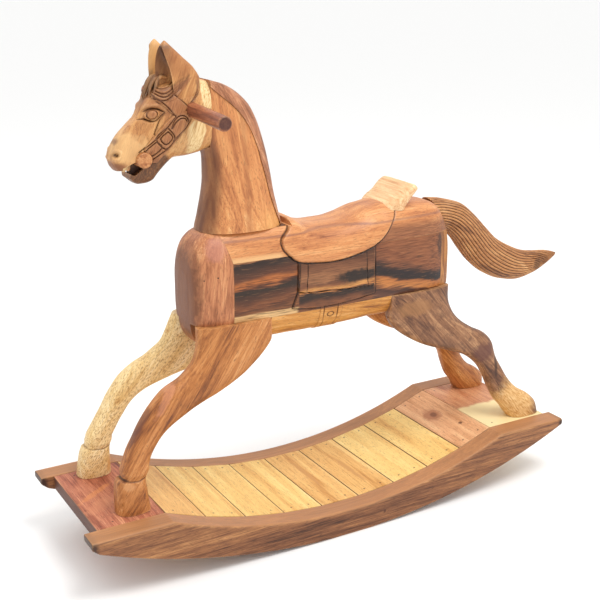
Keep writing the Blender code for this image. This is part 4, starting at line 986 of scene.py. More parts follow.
HEAD_CUTS = [
    # Hair that falls behind the brow
    [(-.2786, .6269), (-.2735, .6195), (-.2659, .6158), (-.2580, .6171), (-.2484, .6236), (-.2370, .6330),
     (-.2229, .6508)],
    [(-.2777, .6311), (-.2718, .6237), (-.2642, .6203), (-.2563, .6220), (-.2466, .6285), (-.2352, .6379),
     (-.2245, .6495)],
    [(-.2760, .6339), (-.2701, .6271), (-.2632, .6245), (-.2545, .6269), (-.2448, .6334), (-.2335, .6428)],
    [(-.2728, .6358), (-.2668, .6312), (-.2590, .6314), (-.2511, .6352), (-.2414, .6418), (-.2301, .6476)],
    # Browband and crown strap
    [(-.2758, .6196), (-.2675, .6141), (-.2585, .6056), (-.2479, .5930)],
    [(-.2484, .6236), (-.2376, .6150), (-.2268, .6046)],
    [(-.2112, .6415), (-.2100, .6299), (-.2168, .6173), (-.2276, .6064)],
    [(-.2077, .6406), (-.2064, .6297), (-.2127, .6192), (-.2218, .6111), (-.2260, .6048)],
    # Ring and straps of the cheek
    [(-.2549, .5756), (-.2506, .5862), (-.2432, .5926), (-.2352, .5931), (-.2290, .5882), (-.2284, .5816),
     (-.2326, .5753), (-.2442, .5652), (-.2524, .5578)],
    [(-.2541, .5755), (-.2483, .5838), (-.2409, .5891), (-.2338, .5890), (-.2310, .5855)],
    [(-.2234, .5871), (-.2310, .5759), (-.2409, .5664), (-.2509, .5569), (-.2608, .5467), (-.2673, .5422),
     (-.2859, .5306)],
    [(-.2480, .5921), (-.2595, .5796), (-.2612, .5775), (-.2759, .5627), (-.3033, .5431)],
    [(-.2612, .5775), (-.2499, .5616), (-.2640, .5460), (-.2783, .5624), (-.2612, .5775)],
    [(-.2603, .5716), (-.2535, .5623), (-.2634, .5528), (-.2716, .5619), (-.2603, .5716)],
    [(-.2773, .5575), (-.2698, .5481), (-.2876, .5357), (-.2951, .5437), (-.2773, .5575)],
    # Lids and the crease below the eye
    [(-.3007, .5898), (-.2929, .5911), (-.2838, .5871), (-.2760, .5882), (-.2679, .5953), (-.2638, .5993)],
    [(-.3006, .5905), (-.2973, .5967), (-.2924, .6013), (-.2846, .6054), (-.2737, .6046), (-.2638, .5998)],
    [(-.2638, .5986), (-.2713, .5890), (-.2764, .5778), (-.2800, .5680)],
    [(-.2742, .6193), (-.2818, .6234), (-.2900, .6132), (-.2949, .6050)]]
SAP_STRIP = [(-.2054, .6439), (-.2043, .6279), (-.2031, .6133), (-.2001, .6028), (-.1870, .5992),
             (-.1870, .6211), (-.1870, .6420)]
SAP_JOWL = [(-.2596, .5559), (-.2616, .5458), (-.2506, .5396), (-.2380, .5348), (-.2218, .5348),
            (-.2069, .5395), (-.1979, .5687), (-.2008, .5793), (-.2169, .5849), (-.2335, .5700),
            (-.2467, .5607)]
# Outline of the painted shade on the lower jaw
JAW_SHADE = [(-.3300, .5000), (-.3180, .5120), (-.3000, .5270), (-.2859, .5306), (-.2673, .5400),
             (-.2580, .5330), (-.2500, .5180), (-.2620, .5060), (-.2850, .4860), (-.3250, .4860)]
EYE = (-0.2815, 0.5968)
IRIS = (7.4 * MM, 6.2 * MM)
NOSTRIL = (-0.3367, 0.5408)


def head_lines(x, z, width=2.8 * MM):
    """Depth of the fine cuts on the head, from nought to one."""
    cuts = np.zeros(x.shape)
    for line in HEAD_CUTS:
        cuts = np.maximum(cuts, groove(x, z, curved(line, 3), width))
    iris = np.abs(oval(x, z, EYE, *IRIS, 20) - 1) * IRIS[1]
    return np.maximum(cuts, 1 - smooth(iris / (1.2 * MM)))


def oval(x, z, centre, long, short, tilt):
    """Distance from a centre, counted in half sizes of a tilted oval."""
    c, s = math.cos(math.radians(tilt)), math.sin(math.radians(tilt))
    u, v = (x - centre[0]) * c + (z - centre[1]) * s, -(x - centre[0]) * s + (z - centre[1]) * c
    return np.hypot(u / long, v / short)


def head_relief(x, z):
    raised = 3.4 * MM * plateau(x, z, CHEEK, 1.4 * MM)
    raised = np.maximum(raised, 3.8 * MM * plateau(x, z, BROW, 1.4 * MM))
    raised = np.maximum(raised, 2.8 * MM * plateau(x, z, CROWN, 1.2 * MM))
    raised = np.maximum(raised, 4.4 * MM * plateau(x, z, LOCK, 1.8 * MM))
    eye = oval(x, z, EYE, 11.5 * MM, 7.0 * MM, 20)
    socket = -2.4 * MM * np.exp(-((eye - 1.10) / 0.32) ** 2)
    brow = 1.8 * MM * np.exp(-((eye - 1.75) / 0.35) ** 2) * smooth((z - EYE[1] + 0.002) / 0.006)
    ball = 3.2 * MM * np.sqrt(np.clip(1 - eye ** 2, 0, 1))
    hole = oval(x, z, NOSTRIL, 5.2 * MM, 3.9 * MM, 35)
    nose = 1.5 * MM * np.exp(-((hole - 1.5) / 0.45) ** 2) - 6.0 * MM * (1 - smooth(hole / 1.1))
    return raised + socket + brow + ball + nose - 2.3 * MM * head_lines(x, z, 3.4 * MM)


def lower_jaw(x, z):
    """One below the line of the mouth, nought above it and behind the corner of the lips."""
    return smooth((0.5370 + 0.97 * (x + 0.2960) - z) / 0.006) * smooth((-0.2780 - x) / 0.020)


head = shape(HEAD, 0.85 * MM, 330, 2.8)
head = dome(head, 1.5 * MM)
x, y, z = head[..., 0], head[..., 1], head[..., 2]
side_on = smooth((np.abs(outward(head)[..., 1]) - 0.15) / 0.35)
height = head_relief(x, z) * side_on + 0.25 * MM * ripple(head, 0.03, 51)
head = head + outward(head) * height[..., None]
# The lower jaw is narrower than the cheek.
head[..., 1] *= 1 - 0.22 * lower_jaw(x, z)
print("head rows and ring:", head.shape[:2])

# %% [markdown]
# ### Ears, mouth and bores
# Each ear is a pointed form with a smaller copy of itself, moved forward, cut out of it. The mouth
# is a wedge sawn in from both sides, leaving the tongue and teeth between. Two bores take the
# hand grips and the bit.

# %% Head cuts
EARS = [
    ((-0.2690, 0.615), (-0.2000, 0.615), 0.0185, 0.0120),
    ((-0.2705, 0.640), (-0.2020, 0.642), 0.0188, 0.0125),
    ((-0.2705, 0.658), (-0.2120, 0.660), 0.0190, 0.0120),
    ((-0.2690, 0.674), (-0.2290, 0.676), 0.0190, 0.0105),
    ((-0.2650, 0.688), (-0.2430, 0.689), 0.0188, 0.0080),
    ((-0.2600, 0.6960), (-0.2510, 0.6965), 0.0185, 0.0045),
    ((-0.2565, 0.6998), (-0.2545, 0.7000), 0.0182, 0.0015)]


def ear(side, shift=0.0, shrink=1.0):
    ribs = [((fx - shift, fz), (fx - shift + (bx - fx) * shrink, fz + (bz - fz) * shrink),
             half * shrink ** 0.5 * 0.95) for (fx, fz), (bx, bz), _, half in EARS]
    rows = shape(ribs, 1.2 * MM, 90, 3.0)
    height = np.array([fz for (_, fz), *_ in EARS])
    middle = np.array([m for *_, m, _ in EARS])
    rows[..., 1] += side * np.interp(rows[..., 2], height, middle)
    return rows


MOUTH = (curved([(-0.3460, 0.5120), (-0.3300, 0.5185), (-0.3220, 0.5245), (-0.3110, 0.5290),
                 (-0.3000, 0.5335)])
         + curved([(-0.2960, 0.5335), (-0.2950, 0.5195), (-0.3080, 0.5088), (-0.3160, 0.5115)])
         + [(-0.3170, 0.4900), (-0.3460, 0.4900)])
TEETH = [(-.3285, .5215), (-.3270, .5160), (-.3240, .5150), (-.3222, .5185), (-.3205, .5165), (-.3175, .5165),
         (-.3150, .5200), (-.3145, .5285)]


def turned_bar(length, radius, x, height, tilt, count=64):
    """Rows of a turned bar across the horse, with rounded ends."""
    across = np.array([0, math.cos(tilt), math.sin(tilt)])
    upward = np.array([0, -math.sin(tilt), math.cos(tilt)])
    half = length / 2
    ease = 2.2 * MM
    rows = []
    angles = np.linspace(0, 2 * np.pi, count, endpoint=False)
    ends = [(half - ease * (1 - math.sin(a)), radius - ease * (1 - math.cos(a)))
            for a in np.radians([0, 20, 40, 60, 80, 90])]
    profile = [(-y, r) for y, r in reversed(ends)]
    profile += [(y, radius) for y in np.linspace(-half + 2 * ease, half - 2 * ease,
                                                 max(8, int(length / 0.006)))]
    profile += ends
    for y, r in profile:
        rows.append(np.array([x, 0, height]) + across * y
                    + np.outer(np.cos(angles), [1, 0, 0]) * r + np.outer(np.sin(angles), upward) * r)
    return np.array(rows)


HANDLE = dict(length=0.281, radius=0.011, x=-0.220, height=0.6024, tilt=math.radians(3.7))
BIT = dict(length=0.066, radius=0.0115, x=-0.2975, height=0.532, tilt=0.0)
skull = skin(head)
for side in (-1, 1):
    outer = skin(dome(ear(side), 0.1 * MM))
    hollow = ear(side, 0.009, 0.62)
    hollow[..., 1] += side * 2.5 * MM
    skull = combine(skull, cut(outer, skin(hollow)), "UNION")
# A tuft of short locks falls over the forehead from between the ears.
rng = np.random.default_rng(7)
ACROSS_HEAD = np.array([0.0, 1.0, 0.0])
for k in range(8):
    root = -0.0158 + 0.0045 * k
    spread = root * rng.uniform(1.0, 1.25)
    curl, drop = rng.uniform(-0.0025, 0.0010), rng.uniform(-0.009, 0.003)
    way = np.array([(-0.2530, root * 0.8, 0.6470), (-0.2630, root * 0.9, 0.6490),
                    (-0.2720 + curl, root, 0.6425), (-0.2782 + curl, spread, 0.6320),
                    (-0.2838 + 0.5 * drop, spread * 1.1, 0.6190 + drop)])
    # The forehead falls back to either side of its middle.
    way[:, 0] += 0.005 * (way[:, 1] / 0.018) ** 2
    path = glide(np.arange(5.0), way, np.linspace(0, 4, 24))
    girth = np.interp(np.linspace(0, 1, 24), [0, 0.3, 0.7, 1], [2.3, 2.9, 2.2, 0.4]) * MM
    forward = np.gradient(path, axis=0)
    upward = np.cross(ACROSS_HEAD, forward)
    upward /= np.linalg.norm(upward, axis=1, keepdims=True)
    turn = np.linspace(0, 2 * np.pi, 16, endpoint=False)
    lock = np.array([p + r * (np.outer(np.cos(turn), ACROSS_HEAD) * 0.85 + np.outer(np.sin(turn), u))
                     for p, r, u in zip(path, girth, upward)])
    skull = combine(skull, skin(lock), "UNION")
# The mouth is open right through in front; further back a thin web and the teeth are left standing.
open_mouth = cut(prism(MOUTH, -0.06, 0.06), prism(TEETH, -0.0165, 0.0165))
web = prism([(-0.3130, 0.49), (-0.28, 0.49), (-0.28, 0.55), (-0.3130, 0.55)], -0.0050, 0.0050)
skull = cut(skull, cut(open_mouth, web))
skull = cut(skull, prism([(HEAD_X - SEAM, 0), (FAR, 0), (FAR, 0.9), (HEAD_X - SEAM, 0.9)]))
for grip in (HANDLE, BIT):
    bore = dict(grip, length=grip["length"] + 0.02, radius=grip["radius"] + 0.3 * MM)
    skull = cut(skull, skin(turned_bar(**bore)))


def head_notes(points):
    x, y, z = points.T
    # Painted shade in the nostril holes
    hole = 1 - smooth(oval(x, z, NOSTRIL, 5.2 * MM, 3.9 * MM, 35) / 1.15)
    ball = (1 - smooth((oval(x, z, EYE, *IRIS, 20) - 0.95) / 0.2)) * (np.abs(y) > 0.012)
    face = np.interp(z, [fz for (_, fz), *_ in HEAD[:3:-1]], [fx for (fx, _), *_ in HEAD[:3:-1]])
    tuft = smooth((face - x + 0.0005) / 0.0015) * smooth((z - 0.604) / 0.004) * (np.abs(y) < 0.024)
    tuft *= smooth((0.660 - z) / 0.006) * smooth((-0.2560 - x) / 0.004)
    strap = np.maximum.reduce([plateau(x, z, CHEEK, 1.0 * MM), plateau(x, z, BROW, 1.0 * MM),
                               plateau(x, z, CROWN, 1.0 * MM), plateau(x, z, LOCK, 1.0 * MM)])
    strap *= np.abs(y) > 0.012
    pale = np.maximum(plateau(x, z, SAP_STRIP, 1.6 * MM),
                      plateau(x, z, SAP_JOWL, 2.4 * MM) * (0.15 + 0.85 * smooth((x + 0.232) / 0.010)))
    pale *= (1 - plateau(x, z, CHEEK, 1.0 * MM)) * (np.abs(y) > 0.012)
    strap = np.maximum.reduce([strap, 0.8 * ball])
    # Painted shade inside the hollows of the ears, fainter in the far ear
    cup = smooth((z - 0.648) / 0.004) * np.exp(-((np.abs(y) - 0.0195) / 0.0085) ** 2)
    cup *= smooth((-0.2430 - x) / 0.012) * smooth((0.697 - z) / 0.006) * np.where(y > 0, 0.35, 1.0)
    mouth = within(x, z, [(-0.3190, 0.5262), (-0.3110, 0.5300), (-0.2980, 0.5350), (-0.2930, 0.5180),
                          (-0.3080, 0.5070), (-0.3155, 0.5095)])
    teeth = within(x, z, [(u - 0.0003, w) for u, w in TEETH]) & (z < 0.5270) & (np.abs(y) > 0.006)
    # Painted shade inside the open mouth, round the teeth
    inside = np.where(mouth & ~teeth & (np.abs(y) < 0.0165), 0.95, 0.0)
    pale = np.maximum(pale, 0.8 * teeth)
    # Each cut has a faint darker hem of painted shade.
    lines = np.maximum(0.62 * head_lines(x, z, 2.4 * MM),
                       0.34 * head_lines(x, z, 7 * MM)) * (np.abs(y) > 0.014)
    # Painted shade along the underside of the head, joined to the jaw's painted shade
    under = smooth((0.004 - (z - np.interp(x, [bx for _, (bx, _), _ in HEAD[::-1]],
                                           [bz for _, (_, bz), _ in HEAD[::-1]]))) / 0.006) * (x < -0.205)
    return {"line": np.maximum.reduce([lines, hole, inside]), "cup": cup, "strap": strap, "pale": pale,
            "hair": tuft, "jaw": np.maximum(plateau(x, z, JAW_SHADE, 6 * MM), 0.6 * under)}


FACE_TONES = [(0.0, "#7C4826"), (0.25, "#A66E3E"), (0.5, "#BF8650"), (0.75, "#CF9A60"), (1.0, "#E2B47C")]


def head_marks(tree, coordinates, fine, slow):
    """Golden muzzle with a painted highlight, brown brow and lips, painted shade on the lower jaw, tuft, pale
    sapwood, straps, and ears with painted shade in their hollows.
    """
    _, side, upright = (add(tree, SPLIT, [coordinates], out=axis) for axis in "XYZ")
    ears = add(tree, RANGE, [upright, PLATFORM + 0.640, PLATFORM + 0.66])
    near, far = (add(tree, RANGE, [side, -0.004, 0.004, *ends]) for ends in ((0.6, 0.0), (0.0, 0.7)))
    chin_shade, hair, sapwood, leather = (add(tree, RAMP, [fine], stops) for stops in (
        [(0.3, "#3C2214"), (0.5, "#5E3821"), (0.7, "#885834")],
        [(0.3, "#38200F"), (0.5, "#63402A"), (0.7, "#946440")],
        [(0.34, "#B4844E"), (0.46, "#DDBC84"), (0.62, "#EAD2A0"), (0.72, "#C89A62")],
        [(0.3, "#7C4A2C"), (0.5, "#97603C"), (0.7, "#AE7448")]))
    # The golden muzzle spot is partly a painted highlight.
    layers = [spot(tree, coordinates, (x, 0.0, z), reach, *look) for x, z, reach, *look in (
        (-0.318, 0.548, (34, 80, 30), "#DDB27A", 0.6, 0.8),
        (-0.262, 0.610, (36, 80, 30), "#9C6540", 0.6, 0.7),
        (-0.336, 0.521, (20, 60, 12), "#7C4A2C", 0.85, 0.9),
        (-0.336, 0.562, (7, 40, 9), "#6E4630", 0.7, 0.9))]
    for share, strength, shade in (("jaw", 0.92, chin_shade), ("hair", 0.9, hair), (near, ears, "#9C6238"),
                                   (far, ears, "#E0AC6C"), ("pale", 0.92, sapwood), ("strap", 0.8, leather),
                                   ("cup", 0.95, "#452618")):
        share = add(tree, NOTE, attribute_name=share) if isinstance(share, str) else share
        layers.append((add(tree, MATH, [share, strength], **TIMES), shade))
    return layers


head_wood = oiled_wood("oiled_head_block", "tan_carving", FACE_TONES, turn=turned(70), figure=(0.12, 0.016),
                       rings=6, ring_share=0.28, fibre=0.26, offset=(0.2, 0.6, 0.3), marks=head_marks)
finish_piece("head", skull, head_wood, notes=head_notes, angle=50)

# %% Trim the neck and mane
jowl = shape([(front, (x, z - 0.6 * MM), half + 0.3 * MM) for front, (x, z), half in HEAD], 3 * MM, 120, 2.8)
ahead = prism([(-FAR, 0), (HEAD_X + SEAM, 0), (HEAD_X + SEAM, 0.9), (-FAR, 0.9)])
for name, rows, wood in (("neck", neck, neck_wood), ("mane", mane, mane_wood)):
    form = cut(cut(skin(rows), prism(behind_head)), prism(neck_foot))
    if name == "neck":
        form = cut(cut(form, common(skin(jowl), ahead)), prism(mane_outline(-SEAM)))
        finish_piece(name, form, wood, notes=neck_notes)
    else:
        # The cuts between the strands are darkened with painted shade.
        finish_piece(name, common(form, prism(mane_outline(SEAM))), wood,
                     notes=lambda p: {"line": 0.75 * np.clip(strands(p), 0, 1)})

# %% [markdown]
# ## The hand grips and the bit
# Both are turned bars pushed through the head. The ends were rounded with sandpaper, so each bar is
# a lathe profile with a soft corner. The end grain is darker because it drinks more oil.

# %% Turned bars
HANDLE_TONES = [(0.0, "#542A1C"), (0.3, "#7C4630"), (0.55, "#98593C"), (0.8, "#B0704C"), (1.0, "#C88A62")]
BIT_TONES = [(0.0, "#7A4426"), (0.3, "#9E6238"), (0.55, "#B87A4A"), (0.8, "#C88E5C"), (1.0, "#D8A270")]
END_GRAIN = [((HANDLE["x"], y, HANDLE["height"] + y * math.tan(HANDLE["tilt"])), (14, 2, 14),
              "#35191A", 0.8, 0.2) for y in (-0.1405, 0.1405)]
for name, grip, tones, ends in (("handle_bar", HANDLE, HANDLE_TONES, END_GRAIN),
                                ("bit_bar", BIT, BIT_TONES, ())):
    bar_wood = oiled_wood(f"turned_oiled_{name}", "tan_carving", tones, turn=ACROSS, figure=(0.16, 0.01),
                          rings=4, ring_share=0.3, fibre=0.3, gloss=(0.34, 0.48), spots=ends)
    finish_piece(name, skin(turned_bar(**grip)), bar_wood, angle=60)

# %% [markdown]
# ## The legs
# The legs stretch out in a gallop and lean outward from the belly to hooves beside the rails. Each
# was bandsawn from a board and rounded over, so its sides stay flatter than its edges. The ribs
# narrow above the hoof to make the pastern, and the sole is flat on the platform.

# %% Leg forms
LEFT_FRONT = [
    ((-0.230, 0.285), (-0.096, 0.285), 0.0205), ((-0.231, 0.252), (-0.098, 0.239), 0.0205),
    ((-0.236, 0.223), (-0.139, 0.192), 0.0205), ((-0.259, 0.196), (-0.193, 0.162), 0.0200),
    ((-0.296, 0.176), (-0.239, 0.145), 0.0200), ((-0.318, 0.155), (-0.270, 0.130), 0.0195),
    ((-0.333, 0.136), (-0.293, 0.117), 0.0190), ((-0.348, 0.113), (-0.311, 0.099), 0.0185),
    ((-0.361, 0.090), (-0.3225, 0.082), 0.0185), ((-0.371, 0.065), (-0.329, 0.061), 0.0185),
    ((-0.3715, 0.056), (-0.3325, 0.052), 0.0175), ((-0.3795, 0.051), (-0.3340, 0.047), 0.0190),
    ((-0.3835, 0.032), (-0.3325, 0.027), 0.0205), ((-0.3845, 0.0), (-0.3300, 0.0), 0.0215)]
RIGHT_FRONT = [
    ((-0.224, 0.285), (-0.096, 0.285), 0.0205), ((-0.238, 0.250), (-0.098, 0.236), 0.0205),
    ((-0.250, 0.222), (-0.143, 0.192), 0.0205), ((-0.278, 0.199), (-0.194, 0.168), 0.0200),
    ((-0.304, 0.185), (-0.244, 0.156), 0.0200), ((-0.326, 0.166), (-0.280, 0.144), 0.0195),
    ((-0.340, 0.145), (-0.303, 0.129), 0.0190), ((-0.356, 0.114), (-0.320, 0.104), 0.0185),
    ((-0.369, 0.090), (-0.331, 0.083), 0.0185), ((-0.379, 0.070), (-0.338, 0.066), 0.0185),
    ((-0.380, 0.058), (-0.340, 0.054), 0.0180), ((-0.386, 0.052), (-0.341, 0.048), 0.0190),
    ((-0.391, 0.030), (-0.340, 0.027), 0.0205), ((-0.394, 0.0), (-0.338, 0.0), 0.0215)]
HIND = [
    ((0.119, 0.285), (0.2530, 0.285), 0.0205), ((0.121, 0.239), (0.2500, 0.245), 0.0205),
    ((0.130, 0.215), (0.2575, 0.221), 0.0205), ((0.158, 0.189), (0.2765, 0.198), 0.0200),
    ((0.205, 0.163), (0.3020, 0.181), 0.0200), ((0.250, 0.147), (0.3280, 0.167), 0.0195),
    ((0.285, 0.132), (0.3430, 0.149), 0.0185), ((0.309, 0.114), (0.3500, 0.123), 0.0175),
    ((0.326, 0.090), (0.3640, 0.097), 0.0170), ((0.338, 0.063), (0.3780, 0.074), 0.0175),
    ((0.352, 0.036), (0.3990, 0.052), 0.0185), ((0.366, 0.020), (0.4230, 0.037), 0.0200),
    ((0.374, 0.008), (0.4400, 0.018), 0.0210), ((0.380, 0.0), (0.4440, 0.0), 0.0205)]
SHOULDER, HIP = 0.225, 0.0425
LEG_EASE = 1.2
# The crease above each front hoof
CORONETS = {-1: [(-0.3850, 0.0590), (-0.3650, 0.0525), (-0.3500, 0.0505), (-0.3250, 0.0560)],
            1: [(-0.3950, 0.0590), (-0.3740, 0.0520), (-0.3560, 0.0505), (-0.3320, 0.0570)]}


def leg(ribs, side, room, seed):
    top = ribs[0][0][1]

    def middle(front_z, back_z):
        level = (front_z + back_z) / 2 / top
        return side * (HIP + (HALF_DECK - room - HIP) * (1 - level) ** LEG_EASE)

    rows = shape(ribs, 1.5 * MM, 120, 2.6, middle)
    height = ripple(rows, 0.035, seed) * 0.5 * MM
    if ribs is not HIND:
        x, z = rows[..., 0], rows[..., 2]
        height -= 1.6 * MM * groove(x, z, CORONETS[side], 4.5 * MM)
        height += 1.0 * MM * groove(x, z, [(u, w + 0.0085) for u, w in CORONETS[side]], 14 * MM)
    rows = rows + outward(rows) * height[..., None]
    rows[-1, :, 2] = 0.0
    form = cut(skin(rows), prism([(-FAR, LOW - SEAM), (FAR, LOW - SEAM), (FAR, FAR), (-FAR, FAR)]))
    start, end = (-FAR, HIND_LEG_X) if ribs is HIND else (FRONT_LEG_X, FAR)
    form = cut(form, prism([(start, SHOULDER), (end, SHOULDER), (end, FAR), (start, FAR)]))
    inner = sorted((side * (TONGUE + SEAM), -side * FAR))
    return cut(form, prism([(-FAR, -0.1), (FAR, -0.1), (FAR, FAR), (-FAR, FAR)], *inner))


# %% Leg woods and pieces
NEAR_FRONT = [(0.0, "#5A2E16"), (0.25, "#935628"), (0.5, "#B06F38"), (0.75, "#C08048"), (1.0, "#D69C64")]
STRAW = [(0.0, "#BC8A50"), (0.22, "#DFB978"), (0.5, "#EBCB90"), (0.78, "#F3D9A4"), (1.0, "#FAE8C2")]
NEAR_HIND = [(0.0, "#3A231A"), (0.25, "#66422D"), (0.5, "#855A3D"), (0.75, "#9E7250"), (1.0, "#BC8E64")]
FAR_HIND = [(0.0, "#5C3016"), (0.25, "#8C5024"), (0.5, "#A86834"), (0.75, "#BE7E44"), (1.0, "#D49C60")]
ALONG = turned(54)
# Painted rosy sheen, dark streaks down the front edge, painted shade above the hoof and a painted highlight
# below it
NEAR_FRONT_SPOTS = [((-0.294, -0.062, 0.168), (44, 40, 7), "#CC8A68", 0.42, 1.3, ALONG)]
NEAR_FRONT_SPOTS += [((x, -0.068, z), (length, 40, 2.4), "#5E3020", 0.6, 0.8, ALONG) for x, z, length in (
    (-0.322, 0.157, 40), (-0.331, 0.139, 38), (-0.346, 0.116, 30), (-0.297, 0.131, 26))]
NEAR_FRONT_SPOTS += [((-0.372, -0.085, 0.055), (9, 22, 4), "#4A2018", 0.85, 0.4),
                     ((-0.366, -0.085, 0.045), (12, 22, 7), "#D6A272", 0.35, 1.1)]
FAR_FRONT_SPOTS = [((-0.345, 0.083, 0.020), (12, 30, 22), "#CB8840", 0.75, 0.7)]


def far_front_marks(tree, coordinates, fine, slow):
    """Dense short specks, the cut ends of the rays in flat-sawn sapwood."""
    cell = add(tree, CELL, {"Vector": coordinates, "Rotation": turned(52),
                            "Scale": (5 * MM, 1.3 * MM, 1.3 * MM)}, vector_type="TEXTURE")
    speck = add(tree, NOISE, {"Vector": cell, "Scale": 1.0, "Detail": 1.0})
    return [(add(tree, RANGE, [speck, 0.53, 0.64, 0.0, 0.72]), "#94622C")]


def near_hind_marks(tree, coordinates, fine, slow):
    """Mottled brown thigh, purplish hock and a golden pastern and hoof."""
    blotch = add(tree, NOISE, {"Vector": coordinates, "Scale": 75.0, "Detail": 4.0, "Roughness": 0.65})
    golden = add(tree, RAMP, [fine], [(0.28, "#9A6434"), (0.42, "#C8924E"), (0.55, "#DDB074"),
                                      (0.72, "#EBCB94")])
    return [(add(tree, RANGE, [blotch, 0.48, 0.64, 0.0, 0.55]), "#543628"),
            spot(tree, coordinates, (0.170, -0.065, 0.240), (44, 30, 16), "#A07044", 0.5, 0.9),
            spot(tree, coordinates, (0.318, -0.065, 0.136), (30, 40, 22), "#5C342C", 0.75, 0.7),
            spot(tree, coordinates, (0.386, -0.075, 0.024), (58, 60, 62), golden, 0.95, 0.5),
            spot(tree, coordinates, (0.344, -0.075, 0.106), (5, 20, 24), "#2E1812", 0.8, 0.6)]


LEGS = (
    ("left_front_leg", LEFT_FRONT, -1, 0.0345, 61, "oiled_near_foreleg", "brown_carving", NEAR_FRONT, 54,
     None, NEAR_FRONT_SPOTS),
    ("right_front_leg", RIGHT_FRONT, 1, 0.0195, 62, "sanded_sapwood_foreleg", "pale_sapwood", STRAW, 52,
     far_front_marks, FAR_FRONT_SPOTS),
    ("left_hind_leg", HIND, -1, 0.0245, 63, "oiled_near_hind_leg", "brown_carving", NEAR_HIND, -48,
     near_hind_marks, ()),
    ("right_hind_leg", HIND, 1, 0.0195, 64, "oiled_far_hind_leg", "brown_carving", FAR_HIND, -48, None, ()))
for name, ribs, side, room, seed, wood_name, slot, tones, angle, marks, spots in LEGS:
    pale = slot == "pale_sapwood"
    wood = oiled_wood(wood_name, slot, tones, turn=turned(angle), figure=(0.26, 0.020), rings=8,
                      ring_share=0.34, fibre=0.30, pores=0.3 if pale else 0.5,
                      dark="#7A5228" if pale else "#3A1E10", light="#F4E6BE" if pale else "#E3B27C",
                      offset=(0.13 * seed, 0.2, 0.1), marks=marks, spots=spots)
    # The crease above each front hoof is darkened with painted shade.
    crease = None if ribs is HIND else (
        lambda p, line=CORONETS[side]: {"line": 0.6 * groove(p[:, 0], p[:, 2], line, 4.5 * MM)})
    finish_piece(name, leg(ribs, side, room, seed), wood, notes=crease)

# %% [markdown]
# ## The tail
# The tail streams out behind and its hair is thirty long grooves cut with a V gouge. The crests
# are round and the cuts are sharp, so the ring uses the absolute value of a sine rather than a
# plain wave.

# %% Tail
TAIL = [
    ((0.2334, 0.4140), (0.2614, 0.3600), 0.0250), ((0.2520, 0.4120), (0.2675, 0.3570), 0.0235),
    ((0.2790, 0.4060), (0.2750, 0.3520), 0.0210), ((0.3060, 0.3970), (0.2810, 0.3450), 0.0215),
    ((0.3340, 0.3760), (0.2910, 0.3350), 0.0220), ((0.3640, 0.3470), (0.3100, 0.3110), 0.0225),
    ((0.3900, 0.3230), (0.3340, 0.2840), 0.0225), ((0.4230, 0.3040), (0.3690, 0.2580), 0.0220),
    ((0.4600, 0.2890), (0.4070, 0.2420), 0.0205), ((0.4870, 0.2845), (0.4430, 0.2360), 0.0185),
    ((0.5120, 0.2820), (0.4800, 0.2420), 0.0145), ((0.5300, 0.2780), (0.5130, 0.2550), 0.0095),
    ((0.5420, 0.2740), (0.5370, 0.2670), 0.0035)]
GROOVES = 30
tail = shape(TAIL, 2.0 * MM, GROOVES * 10, 2.3)
size = np.linalg.norm(tail - tail.mean(axis=1, keepdims=True), axis=2).mean(axis=1)
around = np.arange(tail.shape[1]) / tail.shape[1]
along = np.linspace(0, 1, len(tail))[:, None]
crest = np.abs(np.sin(np.pi * GROOVES * (around[None, :] + 0.012 * np.sin(7 * along + 3)))) ** 0.7
depth = np.minimum(2.0 * MM, size * 0.12)[:, None] * (1 - crest)
tail = tail - outward(tail) * depth[..., None]
TAIL_TONES = [(0.0, "#5E361C"), (0.25, "#8E5A32"), (0.5, "#AE7444"), (0.75, "#C08854"), (1.0, "#D4A06C")]
# A painted shade darkens the tip and a painted highlight runs along the top near the root.
TAIL_SPOTS = [((0.486, -0.02, 0.262), (12, 30, 14), "#4A2A18", 0.6, 0.8),
              ((0.290, -0.02, 0.402), (50, 30, 9), "#C48E5E", 0.6, 0.6)]
tail_wood = oiled_wood("oiled_tail_board", "brown_carving", TAIL_TONES, turn=turned(-28), figure=(0.22, 0.02),
                       rings=5, ring_share=0.3, fibre=0.3, dark="#2E180C", spots=TAIL_SPOTS)
# The cuts between the strands are darkened with painted shade.
tail_cuts = 0.75 * (1 - smooth((crest - 0.25) / 0.45))
finish_piece("tail", skin(tail), tail_wood, angle=80, notes=lambda p: {"line": tail_cuts.ravel()})
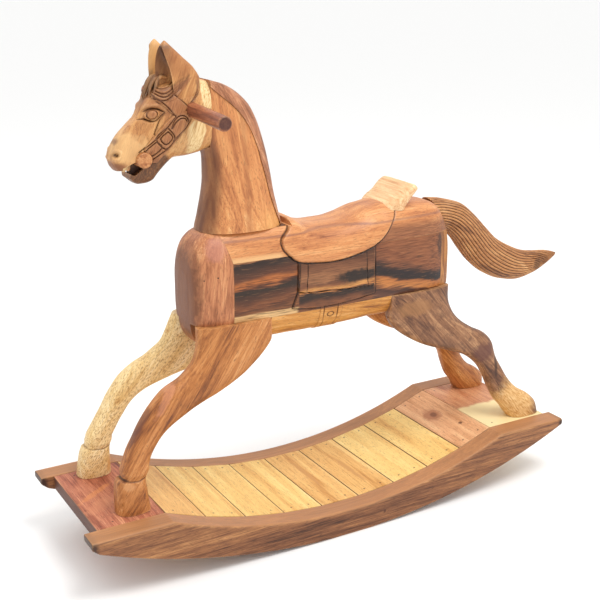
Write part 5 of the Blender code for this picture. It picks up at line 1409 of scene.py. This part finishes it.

# %% [markdown]
# ## Stage, light and camera
# The horse stands on a plain pale floor that runs on into a pale background. One large softbox
# hangs above on the near side, a second lights it from behind on the far side, and the world
# lifts the shadows. The camera looks down from the horse's front left, at the height and lens
# that the perspective of the rails gives.

# %% Stage
floor_mesh = bpy.data.meshes.new("floor")
FLOOR = 80
floor_mesh.from_pydata([(-FLOOR, -FLOOR, 0), (FLOOR, -FLOOR, 0), (FLOOR, FLOOR, 0), (-FLOOR, FLOOR, 0)], [],
                       [(0, 1, 2, 3)])
floor_paint = bpy.data.materials.new("matt_white_floor")
floor_paint.use_nodes = True
floor_shader = floor_paint.node_tree.nodes["Principled BSDF"]
floor_shader.inputs["Base Color"].default_value = linear("#FBFBFA")
floor_shader.inputs["Roughness"].default_value = 0.9
floor_mesh.materials.append(floor_paint)
floor = bpy.data.objects.new("floor", floor_mesh)
bpy.context.scene.collection.objects.link(floor)

world = bpy.data.worlds.new("studio")
world.use_nodes = True
world.node_tree.nodes["Background"].inputs["Color"].default_value = (1.0, 1.0, 1.0, 1.0)
world.node_tree.nodes["Background"].inputs["Strength"].default_value = 1.0
bpy.context.scene.world = world


def softbox(name, place, aim, size, power):
    light = bpy.data.lights.new(name, "AREA")
    light.shape, light.size, light.energy = "DISK", size, power
    lamp = bpy.data.objects.new(name, light)
    lamp.location = place
    toward = np.array(aim) - np.array(place)
    flat = math.hypot(toward[0], toward[1])
    lamp.rotation_euler = (math.atan2(flat, -toward[2]), 0, math.atan2(toward[1], toward[0]) - math.pi / 2)
    bpy.context.scene.collection.objects.link(lamp)


softbox("key", (0.25, -1.1, 2.6), (0, 0, 0.35), 1.3, 38)
softbox("rear", (-0.8, 1.9, 2.4), (0, 0, 0.35), 1.6, 9)

camera_data = bpy.data.cameras.new("camera")
camera_data.lens, camera_data.sensor_width = 66.0, 36.0
camera = bpy.data.objects.new("camera", camera_data)
camera.location = (-0.9401, -1.5162, 0.9331)
camera.rotation_euler = (math.radians(90 - 17.684), 0, math.radians(-29.957))
bpy.context.scene.collection.objects.link(camera)
bpy.context.scene.camera = camera
bpy.context.scene.view_settings.view_transform = "Standard"
